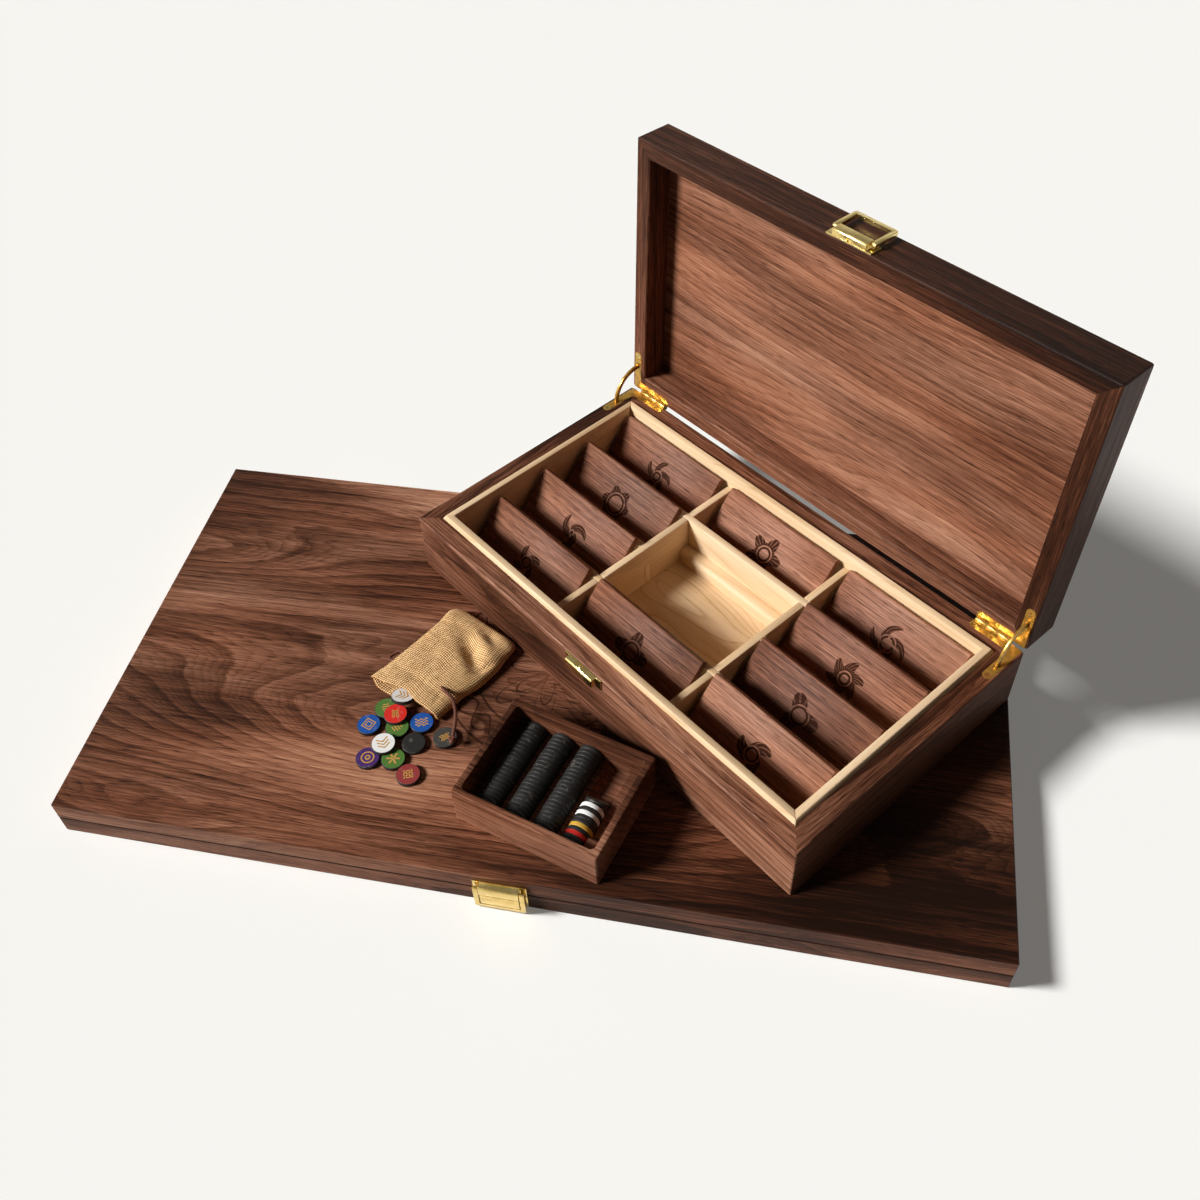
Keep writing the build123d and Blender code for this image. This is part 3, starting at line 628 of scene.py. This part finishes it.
def maple(name, turn, seed, heart=(0, -60), wander=0.05, lines=0.3):
    """Maple stock whose grain runs along its own X, its heart in mm beside and below it."""
    wood = Finish(name, {"Specular IOR Level": 0.3})
    place = wood.place(case_at, turn)
    drift = wood.cloud(place, (4, 16, 16), 2.0, 0.5, (seed, 0, 0)) - 0.5
    along, side, height = wood.axes(place)
    side = side - heart[0] / 1000 + drift * wander
    height = height - heart[1] / 1000 + along * 0.06
    ring_spacing = 0.0048
    line = ((side * side + height * height).maths("SQRT") / ring_spacing).maths("FRACT")
    late = line ** 8.0 * (1.0 - line.above(0.96, 0.04))
    fibre = wood.cloud(place, (30, 900, 900), 3.0, 0.6, (seed, 0, 3))
    broad = wood.cloud(place, (6, 40, 40), 2.0, 0.5, (0, seed, 3))
    fleck = wood.cloud(place, (260, 900, 900), 1.0, 0.5, (0, 0, seed)).above(0.7, 0.06)
    tone = 0.52 + (broad - 0.5) * 0.9 + (fibre - 0.5) * 0.35 - late * lines - fleck * 0.12
    wood.feed({"Base Color": wood.ramp(tone, MAPLE), "Roughness": 0.5 - (fibre - 0.5) * 0.15})
    wood.relief(fibre - fleck, 0.00003)
    return wood


lengthwise = maple("maple_lengthwise", case_turn(on_face), 1.0)
crosswise = maple("maple_crosswise", case_turn(endwise, on_face), 2.0)
for node in (
    "liner_front", "liner_back", "cross_front", "cross_back", "cross_stubs", "compartment_ledge",
    "liner_left", "liner_right", "divider_left", "divider_right",
):
    runs_across = node.endswith(("_left", "_right"))
    softened(node, "_board", crosswise if runs_across else lengthwise, "maple", 0.0004)
flat_maple = maple("maple_floor", case_turn(), 3.0, heart=(-40, -20), wander=0.16, lines=0.5)
dress(flat_maple, "case_floor")

# Card rests: ten loose walnut slabs, each leaning on the board behind it, with its own small
# burnt-in flower or pinwheel on its face.
liner_depth, divider, divider_rise = 150.9, 4.4, 31.2
foot_room, foot_height, overhang, slab_thickness, wall_gap = 4.6, 4.05, 4.0, 5.0, 0.1
row_pitch, column_pitch = liner_depth / 4, 97
rest_run = row_pitch - divider - foot_room
lean = math.atan(rest_run / divider_rise)
rest_length = math.hypot(divider_rise, rest_run) + overhang
case_frame = Matrix.Translation(case_at) @ Matrix.Rotation(case_yaw, 4, "Z")
foot_rows = [row * row_pitch - divider / 2 - rest_run for row in (-1, 0, 1)]
foot_rows.append(liner_depth / 2 - wall_gap - rest_length * math.sin(lean))
# Column and row, petals, how deep they are cut, twist of the arms, hole and overall radius in mm
burnt_marks = [
    (-1, 0, 4, 0.36, 0.10, 2.6, 11), (-1, 1, 3, 0.42, 0.16, 0.0, 12), (-1, 2, 6, 0.14, 0.0, 5.4, 12),
    (-1, 3, 5, 0.38, 0.10, 2.0, 12), (0, 0, 4, 0.24, 0.0, 4.6, 13), (0, 3, 5, 0.22, 0.0, 3.4, 13),
    (1, 0, 3, 0.30, 0.12, 3.0, 12), (1, 1, 3, 0.30, 0.0, 4.2, 13), (1, 2, 6, 0.20, 0.06, 2.4, 12),
    (1, 3, 4, 0.40, 0.14, 3.4, 13),
]
for number, (column, row, petals, cut_depth, twist, hole, reach) in enumerate(burnt_marks, start=1):

    def burnt(across, up):
        """The mark burnt into this rest."""
        radius, angle = from_middle(across, up)
        arms = (angle + radius * twist) * petals
        veins = (arms * 5.0).maths("COSINE").above(0.55, 0.25) * radius.above(hole + 3.0, 0.5)
        lobes = arms.maths("COSINE") * (cut_depth * reach)
        filled = 1.0 - (radius - lobes).above(reach * (1 - cut_depth), 0.3)
        rim = 1.0 - abs(radius - (hole + 1.8)).above(0.5, 0.2)
        return filled * radius.above(hole, 0.2) * (1.0 - rim) * (1.0 - veins * 0.65)

    slab_frame = case_frame @ Matrix.Translation((column * column_pitch, foot_rows[row], foot_height))
    slab_frame = slab_frame @ Matrix.Rotation(-lean, 4, "X")
    face_centre = slab_frame @ Vector((0, -slab_thickness, rest_length / 2))
    stock = walnut(
        f"walnut_rest_{number}", face_centre, case_turn(("X", QUARTER - lean)), spacing=5.5,
        seed=number * 1.7, drift=1.5, lightness=(-0.05, 0.01, 0.08, -0.03, 0.02)[number % 5],
        contrast=0.6, engraving=burnt,
    )
    softened(f"card_rest_{number}", "_slab", stock, "walnut", 0.0004)

# The lid: four mitred walnut rails round a wide panel in a groove, which shows its figure when the
# lid is open. It hangs on the two corner hinges and its stays hold it just past upright.
# The rails are painted darker than the case walls, the front rail, on top when the lid is open, the most:
# painted shade on faces that the lamp hardly reaches.
for side, turns, seed, lightness in (
    ("front", (), 7.0, -0.45), ("back", (), 8.0, -0.1),
    ("left", (endwise,), 9.0, -0.2), ("right", (endwise,), 10.0, -0.24),
):
    stock = walnut(
        f"walnut_lid_{side}", case_at, case_turn(*turns, lid=True), spacing=5.0, seed=seed,
        drift=2.0, lightness=lightness, contrast=0.7,
    )
    dress(stock, f"lid_rail_{side}")
hinge_out, hinge_up, panel_height = 93.15, 43.65, 61.0
to_hinge = Matrix.Translation((0, hinge_out, hinge_up))
lid_frame = case_frame @ to_hinge @ Matrix.Rotation(lid_angle, 4, "X") @ to_hinge.inverted()
# The panel has painted shade at its right end, next to the rail.
lid_panel = walnut(
    "walnut_lid_panel", lid_frame @ Vector((0, 0, panel_height)), case_turn(lid=True), spacing=7.0,
    seed=12.0, drift=2.6, lightness=0.11, contrast=0.9,
    figures=[(60, 60, 120, 26, 3), (-190, -20, 120, 40, 2.5)], painted_shade=[(150, 0, 70, 160, 0.16)],
)
dress(lid_panel, "lid_panel")

# The token tray: one block of walnut, milled out to a well with a ledge, with cradle rails glued
# in between its four lanes. It stands loose on the board.
tray_yaw = math.radians(-17.3)
tray_at = (20.5, -89.1, board_top_height)
tray_wood = walnut(
    "walnut_tray", tray_at, (0, 0, tray_yaw), spacing=5.0, seed=14.0, drift=1.5, lightness=-0.04,
    contrast=0.9,
)
softened("tray_box", "_eased", tray_wood, "walnut", 0.0005)
dress(tray_wood, "tray_rails")


# Tokens: dyed wooden discs with an eased rim. Four stacks stand on edge in the tray's cradles,
# and the rest lie loose on the board, where they fell out of the bag.
class Jig(Nodes):
    """A geometry node tree for pieces that repeat at given points, its sizes as named inputs."""

    def __init__(self, name, **sizes):
        super().__init__(bpy.data.node_groups.new(name, "GeometryNodeTree"))
        face = self.tree.interface
        face.new_socket("Geometry", in_out="INPUT", socket_type="NodeSocketGeometry")
        self.values = {}
        for label, value in sizes.items():
            kind = "NodeSocketInt" if isinstance(value, int) else "NodeSocketFloat"
            made = face.new_socket(label, in_out="INPUT", socket_type=kind)
            self.values[made.identifier] = value
        face.new_socket("Geometry", in_out="OUTPUT", socket_type="NodeSocketGeometry")
        self.places = self.node("NodeGroupInput")

    def sizes(self, *labels):
        """The named inputs."""
        return [self.places.outlet(label) for label in labels]

    def raised(self, geometry, height):
        """The same geometry, higher up."""
        lift = self.node("ShaderNodeCombineXYZ", {}, {"Z": height})
        return self.node("GeometryNodeTransform", {}, {"Geometry": geometry, "Translation": lift})

    def finish_tree(self, shape, finish):
        """Ends the tree with the shape at every point, as real faces with their finish."""
        stored = {"data_type": "FLOAT_VECTOR"}
        turn = self.node("GeometryNodeInputNamedAttribute", stored, {"Name": "turn"})
        spread = {"Points": self.places, "Instance": shape, "Rotation": turn}
        solid = self.node("GeometryNodeInstanceOnPoints", {}, spread)
        solid = self.node("GeometryNodeRealizeInstances", {}, {"Geometry": solid})
        inputs = {"Geometry": solid, "Material": finish.material}
        solid = self.node("GeometryNodeSetMaterial", {}, inputs)
        self.node("NodeGroupOutput", {}, {"Geometry": solid})

    def repeat(self, name, places):
        """One plain mesh with the shape at every place, a matrix in millimetres."""
        points = bpy.data.meshes.new(name)
        points.from_pydata([place.translation / 1000 for place in places], [], [])
        turns = points.attributes.new("turn", "FLOAT_VECTOR", "POINT")
        for item, place in zip(turns.data, places):
            item.vector = place.to_euler("XYZ")
        piece = placed(name, points)
        modifier = piece.modifiers.new("jig", "NODES")
        modifier.node_group = self.tree
        for identifier, value in self.values.items():
            modifier[identifier] = value
        return finished(piece)


dyed_wood = Finish("dyed_token", {"Specular IOR Level": 0.35})
dye = dyed_wood.node("ShaderNodeAttribute", {"attribute_name": "dye"})
speckle, worn = dyed_wood.specks(1400), dyed_wood.specks(260, 2.0)
shaded = dyed_wood.blend(speckle * 0.2, dye, (0.0, 0.0, 0.0, 1.0))
dyed_wood.feed({
    "Base Color": dyed_wood.blend(worn.above(0.66, 0.05) * 0.25, shaded, paint(150, 140, 128)),
    "Roughness": 0.42 + speckle * 0.25,
})
dyed_wood.relief(speckle, 0.00003)

# A disc is drawn up out of a flat circle: its lower rim, its edge and its upper rim
token_radius, token_half = 7.1, 1.3
jig = Jig("token_jig", Radius=token_radius / 1000, Thickness=token_half / 500, Rim=0.00035, Sides=28)
radius, thickness, rim, sides = jig.sizes("Radius", "Thickness", "Rim", "Sides")
flat_radius = radius - rim
disc = jig.node(
    "GeometryNodeMeshCircle", {"fill_type": "NGON"}, {"Vertices": sides, "Radius": flat_radius}
)
body, selection = disc, {}
for rise, scale in (
    (rim, radius / flat_radius), (thickness - rim * 2.0, None), (rim, flat_radius / radius),
):
    body = jig.node(
        "GeometryNodeExtrudeMesh", {"mode": "FACES"}, {"Mesh": body, "Offset Scale": rise, **selection}
    )
    selection = {"Selection": body.outlet("Top")}
    if scale is not None:
        body = jig.node(
            "GeometryNodeScaleElements", {"domain": "FACE"}, {"Geometry": body, "Scale": scale, **selection}
        )
under = jig.node("GeometryNodeFlipFaces", {}, {"Mesh": disc})
blank = jig.node("GeometryNodeJoinGeometry", {}, {"Geometry": [body, under]})
blank = jig.node("GeometryNodeMergeByDistance", {}, {"Geometry": blank, "Distance": 0.00001})
jig.finish_tree(jig.raised(blank, thickness * -0.5), dyed_wood)

BLACK, WHITE, RED, BLUE = (34, 32, 30), (250, 249, 245), (222, 44, 34), (24, 84, 166)
GREEN, PURPLE, MAROON, YELLOW = (82, 122, 50), (72, 38, 104), (150, 56, 54), (214, 168, 60)
GREY, SILVER = (66, 62, 58), (152, 158, 158)


def dyed(piece, face_dyes, edge_dyes, body, node):
    """Colours each token's faces, which have many corners, and its edge of small quads, and
    puts the group on its body."""
    mesh = piece.data
    layer = mesh.color_attributes.new("dye", "FLOAT_COLOR", "CORNER")
    share = len(mesh.polygons) // len(face_dyes)
    for polygon in mesh.polygons:
        number = polygon.index // share
        tint = paint(*(face_dyes[number] if polygon.loop_total > 4 else edge_dyes[number]))
        for loop in polygon.loop_indices:
            layer.data[loop].color = tint
    crisp(settle(piece, None, body, "token", [node]), 40)


shuffle = random.Random(5)
full_turn = 6.28
tray_frame = Matrix.Translation(tray_at) @ Matrix.Rotation(tray_yaw, 4, "Z")
stack_pitch, first_lane, lane_pitch, well_floor = 2.66, -28.9, 17.8, 4.05
stack_first = -11 * stack_pitch
mixed = [PURPLE, BLACK, BLACK, RED, BLACK, YELLOW, BLACK, BLACK, WHITE, BLACK, WHITE, SILVER]
for lane, count in enumerate((23, 23, 23, 11)):
    lane_x = first_lane + lane_pitch * lane
    places = []
    for index in range(count):
        sway = Matrix.Translation((shuffle.uniform(-0.16, 0.16), 0, shuffle.uniform(0, 0.12)))
        spin = Matrix.Rotation(shuffle.uniform(0, full_turn), 4, "Z")
        at = (lane_x, stack_first + stack_pitch * index, well_floor + token_radius)
        places.append(tray_frame @ Matrix.Translation(at) @ sway @ Matrix.Rotation(QUARTER, 4, "X") @ spin)
    if lane < 3:
        faces = [BLACK] * count
        edges = [[value + shade for value in BLACK] for shade in (shuffle.randint(-8, 10) for _ in faces)]
    else:
        faces, edges = mixed, [*mixed[:-1], BLACK]
        fallen, seat_gap = math.radians(34), 0.05
        up, out = math.cos(fallen), math.sin(fallen)
        behind = stack_first + stack_pitch * (count - 0.5) + seat_gap
        at = (lane_x, behind + token_radius * out + token_half * up,
              well_floor + token_radius * up + token_half * out)
        places.append(tray_frame @ Matrix.Translation(at) @ Matrix.Rotation(QUARTER + fallen, 4, "X"))
    stack = jig.repeat(f"token_stack_{lane + 1}_discs", places)
    dyed(stack, faces, edges, f"stack_{lane + 1}", f"token_stack_{lane + 1}")

# Each loose token: the place of its middle in mm, its dye and its mark
loose_low = [
    (-92.1, -45.6, GREEN, "bars"), (-81.7, -57.9, GREEN, "bars"), (-99.0, -58.6, BLUE, "squares"),
    (-68.2, -52.2, BLUE, "wave"), (-68.9, -66.8, BLACK, None), (-51.8, -59.9, GREY, "lattice"),
    (-92.5, -81.0, PURPLE, "ring"), (-77.6, -79.2, GREEN, "petals"), (-66.0, -87.9, MAROON, "cross"),
]
loose_high = [(-84.5, -50.5, RED, "lattice"), (-85.5, -71.6, WHITE, "chevrons")]
flat_height = board_top_height + token_half
second_height, tilted_height = flat_height + 2.65, flat_height + 4.05
gold = Finish("gold_mark", {"Roughness": 0.4, "Specular IOR Level": 0.4})
gold_stops = [(0.3, paint(176, 118, 52)), (0.7, paint(226, 178, 100))]
gold.feed({"Base Color": gold.ramp(gold.specks(2400), gold_stops)})


def bar(x, y, length, width, angle):
    """The four corners of a stripe."""
    c, s = math.cos(angle), math.sin(angle)
    corners = ((-length, -width), (length, -width), (length, width), (-length, width))
    return [(x + c * u / 2 - s * v / 2, y + s * u / 2 + c * v / 2) for u, v in corners]


def ring_cells(radius, width, cells, turn=0.0):
    """The four-cornered cells of a flat ring."""
    inner, outer = radius - width / 2, radius + width / 2
    angles = [turn + 2 * math.pi * step / cells for step in range(cells + 1)]
    return [
        [(r * math.cos(t), r * math.sin(t)) for r, t in ((inner, a), (outer, a), (outer, b), (inner, b))]
        for a, b in zip(angles, angles[1:])
    ]


MARKS = {
    "bars": [bar(x, 0, 6.0 - abs(x), 0.7, QUARTER) for x in (-2.4, -0.8, 0.8, 2.4)],
    "cross": [bar(0, 0, 7.4, 0.8, angle) for angle in (0, QUARTER)] + ring_cells(2.4, 0.6, 20),
    "chevrons": [
        bar(side * 1.7, level, 4.3, 0.8, -side * 0.6) for level in (-2.2, 0.0, 2.2) for side in (-1, 1)
    ],
    "wave": [
        bar(x * 1.5, level + (0.4 if x % 2 else -0.4), 1.9, 0.65, 0.55 if x % 2 else -0.55)
        for level in (-1.9, 0.0, 1.9) for x in (-2, -1, 0, 1, 2)
    ],
    "lattice": [
        bar(shift * 1.5, 0, 5.6 - abs(shift), 0.55, heading)
        for heading in (0.9, -0.9) for shift in (-1, 0, 1)
    ],
    "squares": ring_cells(4.2, 0.9, 4, 0.4) + ring_cells(2.2, 0.8, 4, 0.4),
    "petals": [
        bar(2.5 * math.cos(angle), 2.5 * math.sin(angle), 2.9, 1.0, angle)
        for angle in (math.pi * step / 3 for step in range(6))
    ] + ring_cells(0.7, 0.6, 12),
    "ring": ring_cells(3.6, 0.8, 28) + ring_cells(1.3, 0.8, 16),
}


def lying(x, y, height):
    """The place of a token that lies flat, turned at random."""
    return Matrix.Translation((x, y, height)) @ Matrix.Rotation(shuffle.uniform(0, full_turn), 4, "Z")


tilted = (
    Matrix.Translation((-83.5, -38.2, tilted_height)) @ Matrix.Rotation(math.radians(-94.6), 4, "Z")
    @ Matrix.Rotation(math.radians(-18), 4, "Y")
)
low = [(lying(x, y, flat_height), tint, mark) for x, y, tint, mark in loose_low]
high = [(lying(x, y, second_height), tint, mark) for x, y, tint, mark in loose_high]
high.append((tilted, WHITE, "chevrons"))
mark_foot, mark_top = token_half - 0.02, token_half + 0.045
for level, tokens in (("low", low), ("high", high)):
    places, tints, _ = zip(*tokens)
    discs = jig.repeat(f"tokens_{level}_discs", places)
    dyed(discs, tints, [BLACK] * len(tokens), f"loose_tokens_{level}", f"tokens_{level}")
for level, tokens in (("low", low), ("high", high)):
    verts, faces = [], []
    for place, _, mark in tokens:
        for corners in MARKS.get(mark, []):
            start = len(verts)
            for height in (mark_foot, mark_top):
                verts.extend((place @ Vector((x, y, height))) / 1000 for x, y in corners)
            walls = [(k, (k + 1) % 4, (k + 1) % 4 + 4, k + 4) for k in range(4)]
            for face in ((4, 5, 6, 7), (3, 2, 1, 0), *walls):
                faces.append(tuple(start + corner for corner in face))
    mesh_piece(
        f"token_marks_{level}", verts, faces, gold, f"loose_tokens_{level}", "token", smooth=False
    )

# Hinge screws: small countersunk brass screws with a cross recess, three in each leaf. Their
# heads sit a little below the leaves' faces.
screw_jig = Jig("screw_jig", Head=0.0019, Shank=0.0009, Length=0.007, Slot=0.00045)
head_radius, shank_radius, length, slot_width = screw_jig.sizes("Head", "Shank", "Length", "Slot")
head_depth, reach = 0.0012, head_radius * 1.3
cone = {"Vertices": 24, "Radius Top": head_radius, "Radius Bottom": shank_radius, "Depth": head_depth}
head = screw_jig.raised(screw_jig.node("GeometryNodeMeshCone", {}, cone), -head_depth)
for across_x, across_y in ((reach, slot_width), (slot_width, reach)):
    span = screw_jig.node("ShaderNodeCombineXYZ", {}, {"X": across_x, "Y": across_y, "Z": head_depth})
    slot = screw_jig.node("GeometryNodeMeshCube", {}, {"Size": span})
    head = screw_jig.node(
        "GeometryNodeMeshBoolean", {"operation": "DIFFERENCE"}, {"Mesh 1": head, "Mesh 2": slot}
    )
shank = screw_jig.node(
    "GeometryNodeMeshCylinder", {}, {"Vertices": 12, "Radius": shank_radius, "Depth": length}
)
shank = screw_jig.raised(shank, length * -0.62)
screw = screw_jig.node("GeometryNodeJoinGeometry", {}, {"Geometry": [head, shank]})
screw_jig.finish_tree(screw, brass)
below_face = 0.23
leaf_holes = [
    (side * x, y) for x, y in ((155.6, 65.15), (129.4, 88.15), (140.9, 88.15)) for side in (-1, 1)
]
base_screws = [
    case_frame @ Matrix.Translation((x, y, hinge_up - below_face)) @ Matrix.Rotation(0.4 * x, 4, "Z")
    for x, y in leaf_holes
]
lid_screws = [
    lid_frame @ Matrix.Translation((x, y, hinge_up + below_face)) @ Matrix.Rotation(math.pi, 4, "X")
    @ Matrix.Rotation(0.3 * y, 4, "Z")
    for x, y in leaf_holes
]
for part, body, places in (("base", "case", base_screws), ("lid", "lid", lid_screws)):
    screws = screw_jig.repeat(f"hinge_screws_{part}_set", places)
    settle(screws, None, body, "brass", [f"hinge_screws_{part}"], smooth=False)

# The cloth bag: coarse tan burlap sewn as a flat pillow, with a narrow hem for its drawstring.
# It lies slack on the board with its hem gaping over the spilled tokens and its far end dented.
bag_frame = Matrix.Translation((-63.5, -7.3, 27.3)) @ Matrix.Rotation(math.radians(61.5), 4, "Z")
bag_end, mouth_half, upper_hem, corner_radius, taper_start = 35.0, 26, -36.4, 6.0, 15.0
seam_fin, cloth_thickness, under_lift = 0.9, 0.9, 0.35
# Sizes at places along the bag in mm, from hem to end, and the lower hem's place across it
left_half = [(-39, 28.6), (-25, 27.4), (0, 26.6), (20, 26.2), (28, 26.9), (35, 25.8)]
right_half = [(-39, 23.6), (-16, 24.2), (0, 27.2), (12, 27.4), (26, 26.0), (35, 25.6)]
left_seam = [(-39, 5.2), (-20, 4.2), (10, 3.6), (35, 4.6)]
right_seam = [(-39, 2.6), (-16, 2.8), (5, 2.2), (35, 4.4)]
crown = [(-39, 8.4), (-28, 9.3), (-14, 10.2), (4, 10.6), (20, 10.2), (35, 9.0)]
lower_hem = [(-26, -34.6), (-15, -31.6), (-5, -33.0), (9, -38.8), (20, -39.8), (26, -38.0)]
# Hollows and bulges of the upper cloth: middle, half length, half width, heading, depth
folds = [
    (11.5, -8.5, 13.0, 5.4, -58, 4.6), (5.0, -18.0, 7.0, 5.0, -63, 1.6), (27.6, -9.5, 8.0, 4.2, -63, 2.2),
    (20.5, -12.5, 9.0, 4.2, -63, -1.4), (9.0, -23.0, 6.5, 1.3, 15, 2.2), (33.5, -19.0, 6.0, 4.6, 40, -1.6),
    (-4.0, 12.0, 14.0, 5.0, 20, 0.8), (-17.0, -18.0, 6.0, 1.4, 20, 0.9), (-26.0, -16.0, 6.0, 1.3, -15, 0.8),
    (21.0, 12.0, 8.0, 3.0, 75, 0.9), (26.5, 25.5, 4.0, 2.2, 10, -0.9), (-11.0, -4.0, 9.0, 3.0, 35, 0.5),
]


def eased(table, at):
    """A size read smoothly between the places of a short table."""
    for (start, low), (stop, high) in zip(table, table[1:]):
        if at <= stop:
            share = min(max((at - start) / (stop - start), 0.0), 1.0)
            return low + (high - low) * share * share * (3 - 2 * share)
    return table[-1][1]


def hem_edge(share, upper):
    """Where the cloth ends at the mouth, share being 1 at the left seam and -1 at the right."""
    across = share * mouth_half
    if upper:
        return upper_hem - 1.6 * share + 3.0 * math.exp(-(((across - 3.5) / 8) ** 2))
    return eased(lower_hem, across)


def slack_cloth(along, across):
    """How far the upper cloth rises over its crown with folds, ripples and the hem's seam."""
    rise = 0.0
    for fold_u, fold_v, length, width, heading, depth in folds:
        angle = math.radians(heading)
        du, dv = along - fold_u, across - fold_v
        run = du * math.cos(angle) - dv * math.sin(angle)
        side = du * math.sin(angle) + dv * math.cos(angle)
        rise -= depth * math.exp(-((run / length) ** 2) - (side / width) ** 2)
    ripple = noise.noise(Vector((along / 9, across / 9, 3.1)))
    ripple += 0.4 * noise.noise(Vector((along / 3.5, across / 3.5, 8.2)))
    hem_seam, seam_depth = -23.5, 0.35
    return rise + 0.55 * ripple - seam_depth * math.exp(-((along - hem_seam) ** 2))


rows, half_columns = 76, 42
columns = 2 * half_columns
grid = []
for row in range(rows + 1):
    ring = []
    for column in range(columns):
        upper = column <= half_columns
        share = math.cos(math.pi * (column if upper else columns - column) / half_columns)
        start = hem_edge(share, upper)
        if column in (0, half_columns):
            start = (hem_edge(share, True) + hem_edge(share, False)) / 2
        along = start + (bag_end - start) * (1 - (1 - row / rows) ** 1.25)
        corner = max(along - (bag_end - corner_radius), 0.0)
        half = eased(left_half if share > 0 else right_half, along)
        half -= corner_radius - math.sqrt(max(corner_radius ** 2 - corner ** 2, 0.0))
        seam = eased(left_seam, along) * (1 + share) / 2 + eased(right_seam, along) * (1 - share) / 2
        taper = max((along - taper_start) / (bag_end - taper_start), 0.0)
        closing = math.sqrt(max(1 - taper ** 3, 0.0))
        fullness = (1 - abs(share) ** 3.4) ** 0.5 * closing
        across = share * half + math.copysign(seam_fin, share) * (abs(share) > 0.999)
        if upper:
            height = seam + (eased(crown, along) - seam) * fullness
            height += slack_cloth(along, across) * (1 - abs(share) ** 6) * closing
        else:
            height = seam - (seam - under_lift) * fullness
        ring.append(Vector((along, across, height)))
    grid.append(ring)
bag_verts = [bag_frame @ point / 1000 for ring in grid for point in ring]
# The cloth's own coordinates: the way round it along its middle ring, and the way from the hem
middle_ring = grid[rows // 2]
round_run = [0.0]
for point, beyond in zip(middle_ring, middle_ring[1:] + middle_ring[:1]):
    round_run.append(round_run[-1] + (beyond - point).length)
long_run = [[0.0] * columns]
for ring, next_ring in zip(grid, grid[1:]):
    steps = [(beyond - point).length for point, beyond in zip(ring, next_ring)]
    long_run.append([before + step for before, step in zip(long_run[-1], steps)])
bag_faces, bag_uvs = [], []
for row in range(rows):
    for column in range(columns):
        face = []
        for down, on in ((0, 0), (1, 0), (1, 1), (0, 1)):
            turned = (column + on) % columns
            face.append((row + down) * columns + turned)
            bag_uvs.append((round_run[column + on] / 1000, long_run[row + down][turned] / 1000))
        bag_faces.append(face)

# The weave, read from the cloth's own coordinates. Its colour follows the threads' height,
# so the gaps and dips between threads are painted shade.
burlap = Finish("burlap", {"Roughness": 0.92, "Specular IOR Level": 0.08})
cloth_map = burlap.node("ShaderNodeUVMap", {"uv_map": "cloth"})
threads_per_metre = 1000 / 1.35
slub = burlap.cloud(cloth_map, (140, 140, 1)) - 0.5
weft_at, warp_at, _ = burlap.axes(cloth_map)
warp_at = warp_at * threads_per_metre + slub * 0.5
weft_at = weft_at * threads_per_metre + slub * 0.5


def strand(beside, along_it, shift):
    """One set of threads: round across, and rising and dipping along."""
    profile = (beside.maths("FRACT") * math.pi).maths("SINE")
    wave = ((along_it + beside.maths("FLOOR") + shift) * math.pi).maths("COSINE")
    return profile ** 0.7 * (wave * 0.42 + 0.58)


weave = strand(weft_at, warp_at, 0.5).maths("MAXIMUM", strand(warp_at, weft_at, 1.5))
uneven = burlap.cloud(cloth_map, (900, 70, 1), 2.0, 0.6) + burlap.cloud(cloth_map, (70, 900, 1), 2.0, 0.6)
fuzz = burlap.specks(3200) - 0.5
# Painted shade in the weave's gaps and dips, over the threads' own uneven tone and fuzz
shade = weave * 1.15 + (uneven * 0.5 - 0.5) * 1.1 + fuzz * 0.35 - 0.13
burlap.feed({"Base Color": burlap.ramp(shade, [
    (0.12, paint(92, 54, 28)), (0.36, paint(170, 114, 68)), (0.58, paint(228, 174, 116)),
    (0.8, paint(255, 220, 164)),
])})
burlap.relief(weave + fuzz * 0.3, 0.0005)

bag_mesh = bpy.data.meshes.new("bag_cloth")
bag_mesh.from_pydata(bag_verts, [], bag_faces)
uv_layer = bag_mesh.uv_layers.new(name="cloth")
for item, pair in zip(uv_layer.data, bag_uvs):
    item.uv = pair
shaping = bmesh.new()
shaping.from_mesh(bag_mesh)
bmesh.ops.remove_doubles(shaping, verts=shaping.verts, dist=0.00002)
bmesh.ops.recalc_face_normals(shaping, faces=shaping.faces)
shaping.to_mesh(bag_mesh)
shaping.free()
bag = placed("bag_cloth", bag_mesh)
thickness = bag.modifiers.new("thickness", "SOLIDIFY")
thickness.thickness = cloth_thickness / 1000
thickness.offset = -1.0
settle(finished(bag), burlap, "cloth_bag", "burlap", ["bag"])

# The drawstring's far side: a short loop of the same cord, a little thinner where it is pulled,
# slack outside the left seam. Both its ends go into the hem.
loop_route = [
    (-19.6, 24.5, 5.0), (-21.4, 28.6, 4.6), (-20.2, 31.6, 3.4), (-17.0, 32.0, 3.0),
    (-13.6, 31.0, 3.6), (-12.4, 28.2, 4.8), (-13.4, 24.5, 5.0),
]
loop_line = fine_path([bag_frame @ Vector(point) / 1000 for point in loop_route], 8)
loop_mesh = twisted(loop_line, cord_diameter * 0.216, cord_diameter * 0.18)
mesh_piece("drawstring_loop", *loop_mesh, jute, "cloth_bag", "cord")
